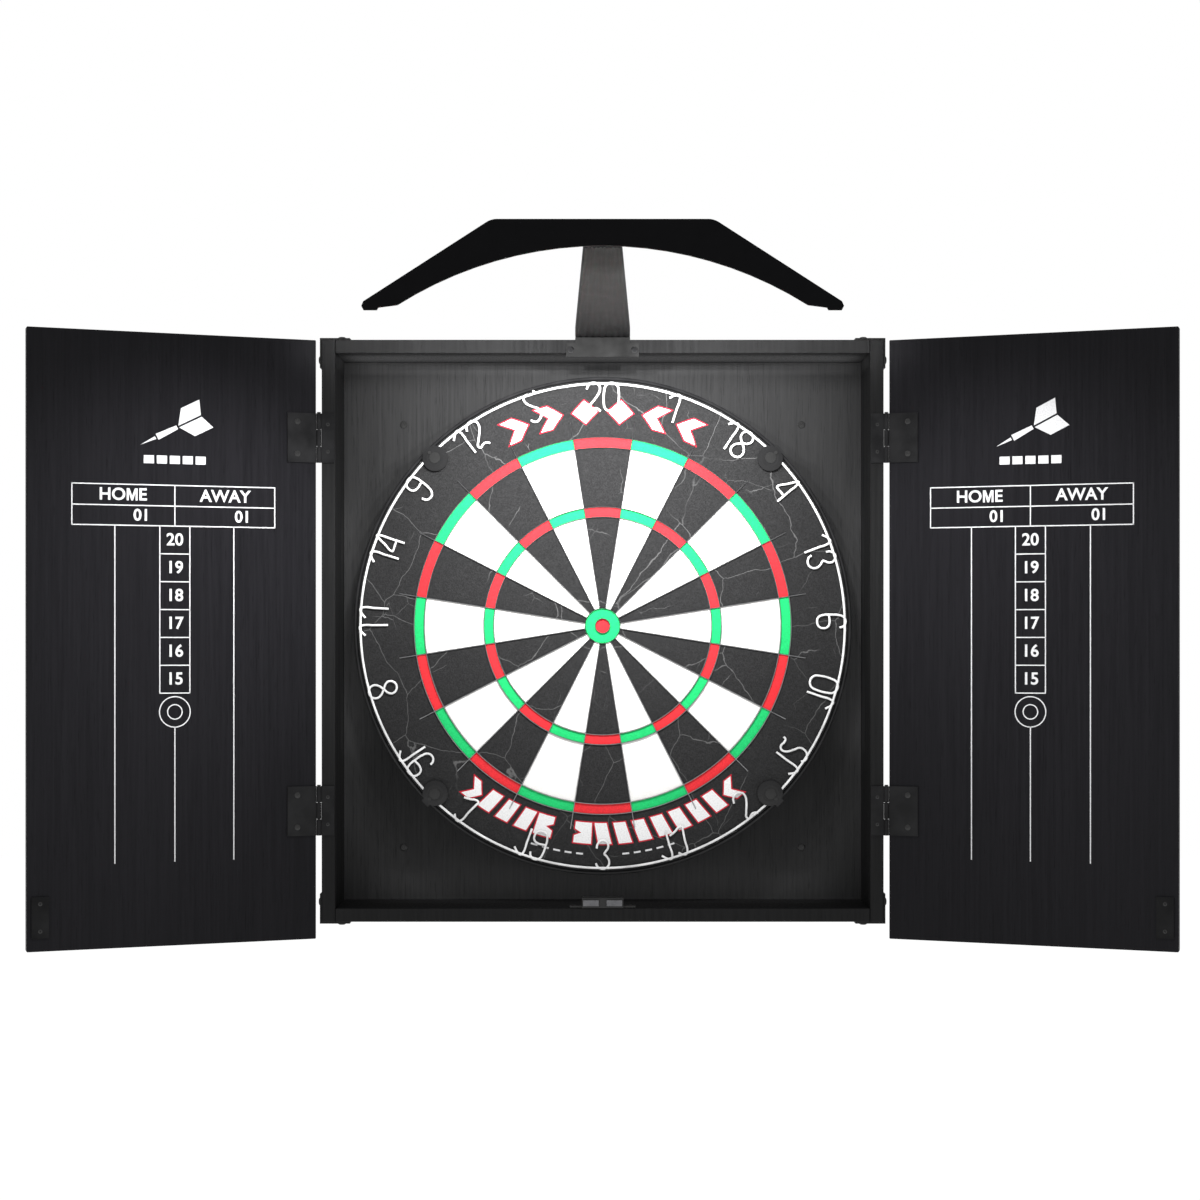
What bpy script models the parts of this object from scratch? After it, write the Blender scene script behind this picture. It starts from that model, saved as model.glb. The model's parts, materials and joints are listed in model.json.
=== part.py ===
"""Dart board cabinet with two doors, a turning board in its wire number ring, and an arched lamp on an arm.

Metres, +Z up. The origin is the centre of the cabinet's rear face, on the wall. The front faces -Y.
The doors stand open, as in use. Their empties sit on the hinge axes and turn them.
"""

import math

import bmesh
import bpy
from mathutils import Matrix, Vector

# --- Driving dimensions -------------------------------------------------------------------------
GAP = 0.0003  # between pieces that touch
NUDGE = 0.0001  # keeps the faces of two joined pieces off one plane
CUT_PAST = 0.001  # how far a cutter runs past the face it opens
WELD = 0.00002

CASE_WIDTH = 0.502
CASE_HEIGHT = 0.520
PANEL = 0.012  # thickness of the case and door boards
BACK_SHEET = 0.005
CASE_DEPTH = 0.074  # wall to the front edge of the sides

DOOR_WIDTH = 0.2505
DOOR_TOP = 0.2595
DOOR_BOTTOM = -0.275  # hangs below the case as a finger grip
DOOR_CLEARANCE = 0.0035  # between a closed door and the case
OPEN_ANGLE = math.radians(160.2)

HINGE_AXIS_OUT = 0.0022  # hinge axis beyond the case's side
LEAF = 0.0012
LEAF_HEIGHT = 0.044
CASE_LEAF_WIDTH = 0.0115
DOOR_LEAF_WIDTH = 0.026
BARREL_RADIUS = 0.0022
BARREL_OVERLAP = 0.0006  # how far a leaf's tab runs into its barrel
PIN_RADIUS = 0.0010
PIN_HOLE = 0.0013
PIN_HEAD = (0.0017, 0.0008)  # radius, height
KNUCKLE_GAP = 0.0004
HINGE_HEIGHTS = {"upper": 0.172, "lower": -0.1606}

BRACKET_LEG = 0.025
BRACKET_SHEET = 0.0015
BRACKET_WIDTH = 0.018
BRACKET_SETBACK = 0.0015  # behind the front edge
CORNER_SCREW_IN = 0.017  # from the case's corner
SCREW_HEAD_RADIUS = 0.0036
SCREW_HEAD_HEIGHT = 0.0016
SCREW_SHANK = 0.0016
PILOT_HOLE = 0.0019
SCREW_REACH = 0.009

BOARD_CENTRE_Z = 0.0046
BOARD_RADIUS = 0.2255
BOARD_BACK = 0.011  # distances from the wall
BOARD_FACE = 0.049
BACKING_FRONT = 0.019
SISAL_RADIUS = 0.222
SISAL_EDGE = 0.0008
BULL_CUP_RADIUS = 0.0069
BULL_CUP_WALL = 0.0006
BULL_CUP_DEPTH = 0.009
BULL_RING_RADIUS = 0.0159
TREBLE_RADII = (0.0985, 0.1075)
DOUBLE_RADII = (0.1612, 0.1705)
WIRE_REACH = 0.186
WIRE_WIDTH = 0.0014
WIRE_HEIGHT = 0.0015
SPOKE_HALF = 0.0005
SEGMENTS = 20
FOOT_CIRCLE = 0.190
FOOT_RADIUS = 0.008
BOLT_RADIUS = 0.0026
BOLT_HEAD_RADIUS = 0.0060
BOLT_HEAD = (0.0060, 0.0080)  # from the wall

RING_RADIUS = 0.219
RING_WIRE = 0.0011
RING_DEPTH = 0.0508
RING_STEPS = 61  # prime, so that no numeral's stroke meets the ring's own corners
NUMERAL_HEIGHT = 0.0255
NUMERAL_WIDTH = 0.0125
NUMERAL_PITCH = 0.0165
NUMERAL_WIRE = 0.0010
STROKE_TAPER = 0.07  # each further stroke is this much thinner, so that no faces coincide
STROKE_LAYER = 0.00033  # and lies this much further forward
CLIP_CIRCLE = 0.214
CLIP_RADIUS = 0.0115
CLIP_CROWN = 0.0075  # radius of its flat top
CLIP_EDGE = 0.0015
CLIP_LIFT = 0.0005  # off the sisal and the rim
CLIP_HEIGHT = 0.0044
CLIP_HOOK = 0.0013
CLIP_HOOK_HALF = 0.004
CLIP_HOOK_REACH = 0.012
NUMBERS = (20, 1, 18, 4, 13, 6, 10, 15, 2, 17, 3, 19, 7, 16, 8, 11, 14, 9, 12, 5)

HEAD_FACE = 0.374  # the lamp's front face, from the wall
HEAD_PLATE = 0.003
CHANNEL_DEPTH = 0.0187
ARCH_RADIUS = 0.2904
ARCH_CENTRE_Z = -0.0016
HEAD_TOP = 0.3088
HEAD_TOP_HALF = 0.084
HEAD_SHOULDER = (0.1804, 0.2468)  # where the slant reaches the tip
HEAD_TIP_Z = 0.2403
HEAD_TIP_STEP = (0.1703, 0.2422)
HEAD_ARCH_END = 0.1548
TIP_CHAMFER = 0.003
CHANNEL_INSET = 0.0025
CHANNEL_SHORT = 0.010  # at each end
CHANNEL_END_HEIGHT = 0.004
DIFFUSER_ANGLE = math.radians(30.0)
DIFFUSER_THICKNESS = 0.0034
GROOVE_ROOF = ARCH_RADIUS + 0.0046
GROOVE_WALLS = (0.0022, 0.0017)  # the channel's back and front walls beside the diffuser
SOCKET_AT = (0.032, 0.2985)
SOCKET_RADIUS = 0.0050
SOCKET_BORE = 0.0028
SOCKET_LENGTH = 0.0055
SOCKET_FLOOR = 0.0008

ARM_ROOT_WIDTH = 0.049
ARM_TIP_WIDTH = 0.029
ARM_RISE = 0.0286
EAR_HALF = 0.0325
EAR_BOTTOM, EAR_TOP = 0.2445, 0.257
FOOT_SHEET = 0.0015
FOOT_BACK = 0.016
FOOT_SCREW = (0.0285, 0.2507)
FOOT_SCREW_SIZE = (0.008, 0.0010, 0.0030)  # reach, head height, head radius
ARM_THICKNESS = {"root": 0.010, "bend": 0.011, "tip": 0.009}
ARM_BEND_OUT = 0.002  # in front of the case

CASE_SIDE = CASE_WIDTH / 2
CASE_TOP = CASE_HEIGHT / 2
HINGE_X = CASE_SIDE + HINGE_AXIS_OUT
HINGE_Y = -(CASE_DEPTH + DOOR_CLEARANCE / 2)
TURN_TO_FRONT = Matrix.Rotation(math.radians(90), 4, "X")  # (x, y, z) goes to (x, -z, y)


# --- Scene and materials ------------------------------------------------------------------------
def fresh_collection(name):
    found = bpy.data.collections.new(name)
    bpy.context.scene.collection.children.link(found)
    return found


for old in list(bpy.data.objects):
    bpy.data.objects.remove(old)
PARTS = fresh_collection("dart_board_cabinet")
CUTTERS = fresh_collection("cutters")


def finish(name, colour, roughness, metallic=0.0):
    material = bpy.data.materials.new(name)
    material.use_nodes = True
    shader = material.node_tree.nodes["Principled BSDF"]
    shader.inputs["Base Color"].default_value = (*colour, 1.0)
    shader.inputs["Roughness"].default_value = roughness
    shader.inputs["Metallic"].default_value = metallic
    return material


# --- Basic shapes -------------------------------------------------------------------------------
def place(name, mesh, material=None, at=(0, 0, 0), parent=None):
    """A named object. Without a material it is a cutter or a piece to be joined on."""
    found = bpy.data.objects.new(name, mesh)
    found.location = at
    found.parent = parent
    if material:
        mesh.materials.append(material)
        PARTS.objects.link(found)
    else:
        CUTTERS.objects.link(found)
        found.hide_render = True
        found.display_type = "WIRE"
    return found


def mesh_from(shape, name):
    mesh = bpy.data.meshes.new(name)
    shape.to_mesh(mesh)
    shape.free()
    return mesh


def slab(name, low, high, material=None, parent=None, edge=0.0):
    """A box from one corner to the other, with its edges broken by edge."""
    low, high = Vector(low), Vector(high)
    low, high = Vector(map(min, low, high)), Vector(map(max, low, high))
    shape = bmesh.new()
    bmesh.ops.create_cube(shape, size=1.0)
    bmesh.ops.scale(shape, vec=high - low, verts=shape.verts)
    if edge:
        bmesh.ops.bevel(shape, geom=shape.edges, offset=edge, segments=1, affect="EDGES")
    return place(name, mesh_from(shape, name), material, (low + high) / 2, parent)


def rod(name, centre, radius, length, axis, material=None, parent=None, sides=16):
    """A cylinder about centre, along a named axis."""
    shape = bmesh.new()
    bmesh.ops.create_cone(
        shape, cap_ends=True, segments=sides, radius1=radius, radius2=radius, depth=length
    )
    turn = {"X": ("Y", 90), "Y": ("X", 90), "Z": ("Z", 0)}[axis]
    bmesh.ops.transform(
        shape, matrix=Matrix.Rotation(math.radians(turn[1]), 4, turn[0]), verts=shape.verts
    )
    return place(name, mesh_from(shape, name), material, centre, parent)


def turned(name, profile, steps, material=None, at=(0, 0, 0), facing=TURN_TO_FRONT, ring=False, parent=None):
    """A profile of (radius, height), down its outer side, turned about its own axis."""
    mesh = bpy.data.meshes.new(name)
    count = len(profile)
    edges = [(i, i + 1) for i in range(count - 1)]
    if ring:
        edges.append((count - 1, 0))
    mesh.from_pydata([(radius, 0, height) for radius, height in profile], edges, [])
    found = place(name, mesh, material, at, parent)
    found.rotation_euler = facing.to_euler()
    screw = found.modifiers.new("turn", "SCREW")
    screw.steps = screw.render_steps = steps
    screw.use_merge_vertices = True
    screw.merge_threshold = WELD
    weld = found.modifiers.new("weld", "WELD")
    weld.merge_threshold = WELD
    return found


def mesh_of_curve(curve_object):
    """A curve's evaluated shape as a closed mesh. The curve itself goes."""
    bpy.context.view_layer.update()
    graph = bpy.context.evaluated_depsgraph_get()
    mesh = bpy.data.meshes.new_from_object(curve_object.evaluated_get(graph))
    bpy.data.objects.remove(curve_object)
    shape = bmesh.new()
    shape.from_mesh(mesh)
    bmesh.ops.remove_doubles(shape, verts=shape.verts, dist=WELD)
    bmesh.ops.recalc_face_normals(shape, faces=shape.faces)
    shape.to_mesh(mesh)
    shape.free()
    return mesh


def plate(name, outline, back, front, material=None, parent=None, at=(0, 0, 0)):
    """A flat outline of (x, z), from back to front metres off the wall."""
    curve = bpy.data.curves.new(name, "CURVE")
    curve.dimensions = "2D"
    curve.fill_mode = "BOTH"
    curve.extrude = (front - back) / 2
    spline = curve.splines.new("POLY")
    spline.points.add(len(outline) - 1)
    for point, (x, z) in zip(spline.points, outline):
        point.co = (x, z, 0, 1)
    spline.use_cyclic_u = True
    holder = bpy.data.objects.new(name + "_outline", curve)
    CUTTERS.objects.link(holder)
    mesh = mesh_of_curve(holder)
    mesh.transform(Matrix.Translation((0, -(front + back) / 2, 0)) @ TURN_TO_FRONT)
    return place(name, mesh, material, at, parent)


def wire_mesh(points, radius, closed):
    """A four-sided tube of the given radius along points in the (x, y) plane."""
    curve = bpy.data.curves.new("wire", "CURVE")
    curve.dimensions = "3D"
    curve.bevel_depth = radius
    curve.bevel_resolution = 0
    curve.use_fill_caps = not closed
    spline = curve.splines.new("POLY")
    spline.points.add(len(points) - 1)
    for point, (x, y) in zip(spline.points, points):
        point.co = (x, y, 0, 1)
    spline.use_cyclic_u = closed
    holder = bpy.data.objects.new("wire", curve)
    CUTTERS.objects.link(holder)
    return mesh_of_curve(holder)


def boolean(target, tool, operation):
    change = target.modifiers.new(operation.lower(), "BOOLEAN")
    change.operation = operation
    change.object = tool
    change.solver = "EXACT"
    return target


def arc(centre, radius, start, end, steps):
    """Points along an arc, in degrees anticlockwise from +x."""
    turns = [math.radians(start + (end - start) * i / steps) for i in range(steps + 1)]
    return [(centre[0] + radius * math.cos(t), centre[1] + radius * math.sin(t)) for t in turns]


def mirrored(half):
    """A closed outline from its right half, listed from the top centre down to the bottom centre."""
    return half + [(-x, z) for x, z in reversed(half) if abs(x) > 1e-9]


# --- Case ---------------------------------------------------------------------------------------
BLACK_BOARD = finish("black_board", (0.022, 0.022, 0.023), 0.5)
BLACK_SHEET = finish("black_back_sheet", (0.026, 0.026, 0.027), 0.55)
BLACK_STEEL = finish("black_steel", (0.02, 0.02, 0.02), 0.4, 0.6)
BRIGHT_STEEL = finish("bright_steel", (0.55, 0.55, 0.56), 0.3, 1.0)

CORNERS = {
    "top_left": (-1, 1),
    "top_right": (1, 1),
    "bottom_left": (-1, -1),
    "bottom_right": (1, -1),
}
BRACKET_Y = -(CASE_DEPTH - BRACKET_SETBACK - BRACKET_WIDTH / 2)


def case_panels():
    rear = -(BACK_SHEET + GAP)
    front = -CASE_DEPTH
    inner_x = CASE_SIDE - PANEL - GAP
    inner_z = CASE_TOP - PANEL
    panels = {}
    for name, side in (("left", -1), ("right", 1)):
        panels[side, 0] = slab(
            f"case_{name}",
            (side * (CASE_SIDE - PANEL), rear, -CASE_TOP),
            (side * CASE_SIDE, front, CASE_TOP),
            BLACK_BOARD,
            edge=0.0005,
        )
    for name, level in (("top", 1), ("bottom", -1)):
        panels[0, level] = slab(
            f"case_{name}",
            (-inner_x, rear, level * inner_z),
            (inner_x, front, level * CASE_TOP),
            BLACK_BOARD,
            edge=0.0005,
        )
    slab("case_back", (-CASE_SIDE, 0, -CASE_TOP), (CASE_SIDE, -BACK_SHEET, CASE_TOP), BLACK_SHEET)
    return panels


def drill(target, point, axis, radius, length, name):
    boolean(target, rod(name, point, radius, length, axis, sides=12, parent=target.parent), "DIFFERENCE")


def pan_screw(name, seat, outward, reach=SCREW_REACH, head=SCREW_HEAD_HEIGHT, radius=SCREW_HEAD_RADIUS):
    """A pan-head screw whose head sits just off a face and whose shank goes into it."""
    profile = [
        (0, GAP + head),
        (radius * 0.7, GAP + head),
        (radius, GAP + head * 0.55),
        (radius, GAP),
        (SCREW_SHANK, GAP),
        (SCREW_SHANK, -reach),
        (0, -reach),
    ]
    facing = Vector(outward).to_track_quat("Z", "Y").to_matrix().to_4x4()
    return turned(name, profile, 12, BRIGHT_STEEL, seat, facing)


def corner_brackets(panels):
    for name, (side, level) in CORNERS.items():
        x_in, x_out = CASE_SIDE + GAP, CASE_SIDE + GAP + BRACKET_SHEET
        z_in, z_out = CASE_TOP + GAP, CASE_TOP + GAP + BRACKET_SHEET
        x_end, z_end = CASE_SIDE - BRACKET_LEG, CASE_TOP - BRACKET_LEG
        outline = [
            (x_out, z_out),
            (x_out, z_end),
            (x_in, z_end),
            (x_in, z_in),
            (x_end, z_in),
            (x_end, z_out),
        ]
        outline = [(side * x, level * z) for x, z in outline]
        bracket = plate(
            f"corner_bracket_{name}",
            outline,
            CASE_DEPTH - BRACKET_SETBACK - BRACKET_WIDTH,
            CASE_DEPTH - BRACKET_SETBACK,
            BLACK_STEEL,
        )
        screw_x = side * (CASE_SIDE - CORNER_SCREW_IN)
        screw_z = level * (CASE_TOP - CORNER_SCREW_IN)
        side_point = (side * CASE_SIDE, BRACKET_Y, screw_z)
        level_point = (screw_x, BRACKET_Y, level * CASE_TOP)
        hole = 2 * (SCREW_REACH + GAP)
        drill(bracket, side_point, "X", PILOT_HOLE, hole, f"cut_bracket_side_{name}")
        drill(bracket, level_point, "Z", PILOT_HOLE, hole, f"cut_bracket_level_{name}")
        drill(panels[side, 0], side_point, "X", PILOT_HOLE, hole, f"cut_side_{name}")
        drill(panels[0, level], level_point, "Z", PILOT_HOLE, hole, f"cut_level_{name}")
        pan_screw(f"corner_screw_side_{name}", (side * x_out, BRACKET_Y, screw_z), (side, 0, 0))
        end = "top" if level > 0 else "bottom"
        hand = "left" if side < 0 else "right"
        pan_screw(f"corner_screw_{end}_face_{hand}", (screw_x, BRACKET_Y, level * z_out), (0, 0, level))


# --- Hinges and doors ---------------------------------------------------------------------------
def leaf(name, inward, width, tabs, into_door, material, parent, height_at):
    """A hinge leaf about its axis. Its tabs are the (low, high) heights where it turns into the barrel."""
    half = LEAF_HEIGHT / 2
    root, edge, tip = HINGE_AXIS_OUT, BARREL_RADIUS - BARREL_OVERLAP, HINGE_AXIS_OUT + width
    outline = [(tip, -half), (tip, half)]
    if tabs[-1][1] < half:
        outline.append((root, half))
    for low, high in reversed(tabs):
        outline += [] if high >= half else [(root, high)]
        outline += [(edge, high), (edge, low)]
        outline += [] if low <= -half else [(root, low)]
    if tabs[0][0] > -half:
        outline.append((root, -half))
    near = DOOR_CLEARANCE / 2 - GAP - LEAF
    back, front = (near, near + LEAF) if into_door else (-near - LEAF, -near)
    found = plate(
        name, [(inward * x, z) for x, z in outline], back, front, material, parent, (0, 0, height_at)
    )
    for i, (low, high) in enumerate(tabs):
        middle = (0, 0, height_at + (low + high) / 2)
        barrel = rod(f"{name}_barrel_{i}", middle, BARREL_RADIUS, high - low, "Z", parent=parent, sides=12)
        boolean(found, barrel, "UNION")
    bore = rod(f"{name}_bore", (0, 0, height_at), PIN_HOLE, LEAF_HEIGHT * 1.2, "Z", parent=parent, sides=12)
    return boolean(found, bore, "DIFFERENCE")


def hinge(hand, side, level, height_at, axis_empty, fixed_empty):
    third = (LEAF_HEIGHT - 2 * KNUCKLE_GAP) / 3
    half = LEAF_HEIGHT / 2
    outer = [(-half, -half + third), (half - third, half)]
    middle = [(-third / 2, third / 2)]
    inward = -side
    name = f"{hand}_{level}"
    leaf(
        f"hinge_case_leaf_{name}", inward, CASE_LEAF_WIDTH, outer, False, BLACK_STEEL, fixed_empty, height_at
    )
    leaf(
        f"hinge_door_leaf_{name}", inward, DOOR_LEAF_WIDTH, middle, True, BLACK_STEEL, axis_empty, height_at
    )
    top = half + GAP
    head_radius, head_height = PIN_HEAD
    profile = [
        (0, top + head_height),
        (head_radius, top + head_height),
        (head_radius, top),
        (PIN_RADIUS, top),
        (PIN_RADIUS, -half),
        (0, -half),
    ]
    at = (0, 0, height_at)
    turned(f"hinge_pin_{name}", profile, 12, BLACK_STEEL, at, Matrix.Identity(4), parent=fixed_empty)


def axis_empties(hand, side):
    empties = []
    for name, turn in (("axis", side * OPEN_ANGLE), ("fixed", 0.0)):
        empty = bpy.data.objects.new(f"door_{hand}_{name}", None)
        PARTS.objects.link(empty)
        empty.location = (side * HINGE_X, HINGE_Y, 0)
        empty.rotation_euler = (0, 0, turn)
        empties.append(empty)
    return empties


STRIKE_INSET = 0.004
STRIKE_SIZE = (0.0145, 0.0355)
STRIKE_TOP = -0.228
STRIKE_SHEET = 0.001


def door(hand, side):
    axis_empty, fixed_empty = axis_empties(hand, side)
    inward = -side
    face = -DOOR_CLEARANCE / 2
    near, far = HINGE_AXIS_OUT, HINGE_AXIS_OUT + DOOR_WIDTH
    strike_far = far - STRIKE_INSET
    strike_width, strike_height = STRIKE_SIZE
    slab(
        f"door_{hand}",
        (inward * near, face, DOOR_BOTTOM),
        (inward * far, face - PANEL, DOOR_TOP),
        BLACK_BOARD,
        axis_empty,
        edge=0.0006,
    )
    slab(
        f"strike_plate_{hand}",
        (inward * strike_far, face + GAP, STRIKE_TOP),
        (inward * (strike_far - strike_width), face + GAP + STRIKE_SHEET, STRIKE_TOP - strike_height),
        BLACK_STEEL,
        axis_empty,
    )
    for level, height_at in HINGE_HEIGHTS.items():
        hinge(hand, side, level, height_at, axis_empty, fixed_empty)


# --- Magnetic catch -----------------------------------------------------------------------------
CATCH_HALF = 0.0185
CATCH_HEIGHT = 0.009
CATCH_FRONT = 0.0748
CATCH_BACK = 0.060
MAGNET_X = (0.0035, 0.0175)
MAGNET_INSET = 0.0018  # below the housing's top and above its floor
MAGNET_FRONT = 0.0757
MAGNET_BACK = 0.063
CATCH_EAR_HALF = 0.0295
CATCH_EAR_Y = (-0.0720, -0.0630)
CATCH_EAR_TOP = 0.0018  # above the housing's floor


def magnetic_catch():
    plastic = finish("catch_plastic", (0.03, 0.03, 0.03), 0.5)
    floor = -(CASE_TOP - PANEL) + GAP
    top = floor + CATCH_HEIGHT
    housing = slab(
        "catch_housing", (-CATCH_HALF, -CATCH_FRONT, floor), (CATCH_HALF, -CATCH_BACK, top), plastic
    )
    ear_front, ear_back = CATCH_EAR_Y
    ears = slab(
        "catch_ears",
        (-CATCH_EAR_HALF, ear_front, floor + NUDGE),
        (CATCH_EAR_HALF, ear_back, floor + CATCH_EAR_TOP),
    )
    boolean(housing, ears, "UNION")
    for hand, side in (("left", -1), ("right", 1)):
        inner, outer = (side * x for x in MAGNET_X)
        low, high = floor + MAGNET_INSET, top - MAGNET_INSET
        pocket = slab(
            f"cut_magnet_{hand}",
            (inner - side * GAP, -CATCH_FRONT - CUT_PAST, low - GAP),
            (outer + side * GAP, -MAGNET_BACK, high + GAP),
        )
        boolean(housing, pocket, "DIFFERENCE")
        slab(
            f"catch_magnet_{hand}",
            (inner, -MAGNET_FRONT, low),
            (outer, -MAGNET_BACK - GAP, high),
            BRIGHT_STEEL,
        )


# --- Board --------------------------------------------------------------------------------------
BOARD_AT = (0, 0, BOARD_CENTRE_Z)
BOARD_STEPS = 60


def hanger():
    """A top-hat bracket on the back sheet. The board's bolt drops into its slot from above."""
    web, foot_in, foot_out = 0.026, 0.029, 0.045
    sheet, stand = 0.0015, 0.0032
    below, above = -0.032, 0.030
    back = BACK_SHEET + GAP
    section = [
        (web, back + stand + sheet),
        (foot_in, back + sheet),
        (foot_out, back + sheet),
        (foot_out, back),
        (foot_in - sheet, back),
        (web - sheet, back + stand),
    ]
    bracket = plate("hanger_bracket", mirrored(section), below, above, BLACK_STEEL)
    bracket.data.transform(TURN_TO_FRONT)
    bracket.location = BOARD_AT
    slot = 0.0030  # half its width
    deep = 2 * BOARD_BACK
    seat = rod("cut_hanger_seat", (0, -deep / 2, BOARD_CENTRE_Z), slot, deep, "Y")
    boolean(bracket, seat, "DIFFERENCE")
    open_top = slab(
        "cut_hanger_slot",
        (-slot, 0, BOARD_CENTRE_Z),
        (slot, -deep, BOARD_CENTRE_Z + above + CUT_PAST),
    )
    boolean(bracket, open_top, "DIFFERENCE")


def board_core():
    chipboard = finish("backing_board", (0.16, 0.10, 0.06), 0.8)
    sisal = finish("sisal", (0.05, 0.05, 0.05), 0.85)
    rim = finish("rim_steel", (0.02, 0.02, 0.02), 0.35, 0.3)
    turned(
        "board_backing",
        [
            (SISAL_RADIUS, BACKING_FRONT),
            (SISAL_RADIUS, BOARD_BACK),
            (BOLT_RADIUS + GAP, BOARD_BACK),
            (BOLT_RADIUS + GAP, BACKING_FRONT),
        ],
        BOARD_STEPS,
        chipboard,
        BOARD_AT,
        ring=True,
    )
    groove = BOARD_FACE - BULL_CUP_DEPTH
    cup_in, cup_out = BULL_CUP_RADIUS - BULL_CUP_WALL - GAP, BULL_CUP_RADIUS + GAP
    turned(
        "sisal_face",
        [
            (0, BOARD_FACE),
            (cup_in, BOARD_FACE),
            (cup_in, groove),
            (cup_out, groove),
            (cup_out, BOARD_FACE),
            (SISAL_RADIUS - SISAL_EDGE, BOARD_FACE),
            (SISAL_RADIUS, BOARD_FACE - SISAL_EDGE),
            (SISAL_RADIUS, BACKING_FRONT + GAP),
            (0, BACKING_FRONT + GAP),
        ],
        BOARD_STEPS,
        sisal,
        BOARD_AT,
    )
    inside = SISAL_RADIUS + GAP
    turned(
        "rim_band",
        [
            (inside, BOARD_FACE - 0.0010),
            ((inside + BOARD_RADIUS) / 2, BOARD_FACE - 0.0004),
            (BOARD_RADIUS, BOARD_FACE - 0.0016),
            (BOARD_RADIUS, BOARD_BACK),
            (inside, BOARD_BACK),
        ],
        BOARD_STEPS,
        rim,
        BOARD_AT,
        ring=True,
    )
    cup_front = BOARD_FACE + GAP + WIRE_HEIGHT
    turned(
        "bull_cup",
        [
            (BULL_CUP_RADIUS, cup_front),
            (BULL_CUP_RADIUS, groove + GAP),
            (BULL_CUP_RADIUS - BULL_CUP_WALL, groove + GAP),
            (BULL_CUP_RADIUS - BULL_CUP_WALL, cup_front),
        ],
        24,
        BRIGHT_STEEL,
        BOARD_AT,
        ring=True,
    )
    head_back, head_front = BOLT_HEAD
    turned(
        "board_centre_bolt",
        [
            (0, BACKING_FRONT - GAP),
            (BOLT_RADIUS, BACKING_FRONT - GAP),
            (BOLT_RADIUS, head_front),
            (BOLT_HEAD_RADIUS, head_front),
            (BOLT_HEAD_RADIUS, head_back),
            (0, head_back),
        ],
        16,
        BRIGHT_STEEL,
        BOARD_AT,
    )


def blade_ring(name, radius, steps, material=None):
    """A ring of triangular blade wire standing on the sisal."""
    base = BOARD_FACE + GAP
    return turned(
        name,
        [(radius, base + WIRE_HEIGHT), (radius + WIRE_WIDTH / 2, base), (radius - WIRE_WIDTH / 2, base)],
        steps,
        material,
        BOARD_AT,
        ring=True,
    )


def wires():
    blade = finish("blade_wire", (0.30, 0.30, 0.31), 0.4, 0.9)
    blade_ring("bull_ring", BULL_RING_RADIUS, 32, blade)
    radii = TREBLE_RADII + DOUBLE_RADII
    spider = blade_ring("spider", radii[0], 60, blade)
    for i, radius in enumerate(radii[1:]):
        boolean(spider, blade_ring(f"spider_ring_{i}", radius, 60), "UNION")
    start = BULL_RING_RADIUS + WIRE_WIDTH / 2 + GAP
    low, high = BOARD_FACE + GAP + NUDGE, BOARD_FACE + GAP + WIRE_HEIGHT - 2 * NUDGE
    for i in range(SEGMENTS):
        turn = Matrix.Rotation(math.tau * (i + 0.5) / SEGMENTS, 4, "Y")
        spoke = slab(f"spider_spoke_{i}", (start, -high, -SPOKE_HALF), (WIRE_REACH, -low, SPOKE_HALF))
        spoke.data.transform(Matrix.Translation(spoke.location))
        spoke.location = BOARD_AT
        spoke.rotation_euler = turn.to_euler()
        boolean(spider, spoke, "UNION")


def board_feet():
    rubber = finish("rubber", (0.02, 0.02, 0.02), 0.9)
    for i in range(3):
        turn = math.tau * (i / 3 + 0.25)
        centre = (
            FOOT_CIRCLE * math.cos(turn),
            -(BACK_SHEET + BOARD_BACK) / 2,
            BOARD_CENTRE_Z + FOOT_CIRCLE * math.sin(turn),
        )
        thickness = BOARD_BACK - BACK_SHEET - 2 * GAP
        rod(f"board_foot_{i + 1}", centre, FOOT_RADIUS, thickness, "Y", rubber)


# --- Number ring --------------------------------------------------------------------------------
def digit_strokes(digit):
    """The wire strokes of a digit in a box 1 high and as wide as a numeral, as (points, closed).
    A stroke has no sharp bend: another stroke starts there, so that every tube is a clean solid."""
    w = NUMERAL_WIDTH / NUMERAL_HEIGHT
    m = w / 2
    top = 1 - m
    if digit == 0:
        return [(arc((m, top), m, 0, 180, 4) + arc((m, m), m, 180, 360, 4), True)]
    if digit == 1:
        return [([(m, 0), (m, 1)], False), ([(m + 0.01, 0.99), (m - 0.17, 0.85)], False)]
    if digit == 2:
        return [(arc((m, top), m, 160, -40, 5) + [(0, 0), (w, 0)], False)]
    if digit == 3:
        return [(arc((m, 0.75), 0.25, 150, -80, 5), False), (arc((m, 0.26), 0.26, 115, -150, 5), False)]
    if digit == 4:
        slant = [(w * 0.77, 0.985), (0, 0.31)]
        return [([(w * 0.75, 0), (w * 0.75, 1)], False), (slant, False), ([(-0.02, 0.33), (w, 0.29)], False)]
    if digit == 5:
        return [([(w, 1), (0.1 * w, 1), (0.05, 0.56)] + arc((m, 0.30), 0.27, 110, -140, 6), False)]
    if digit == 6:
        return [(arc((m, m), m, 20, 335, 7), True), ([(0.03, m + 0.1), (0.12, 0.66), (w * 0.85, 1)], False)]
    if digit == 7:
        return [([(0, 1), (w, 1), (w * 0.3, 0)], False)]
    if digit == 8:
        return [(arc((m, 0.735), 0.265, 22.5, 337.5, 7), True), (arc((m, m), m, 25, 340, 7), True)]
    return [([(w - x, 1 - y) for x, y in points], closed) for points, closed in digit_strokes(6)]


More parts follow.
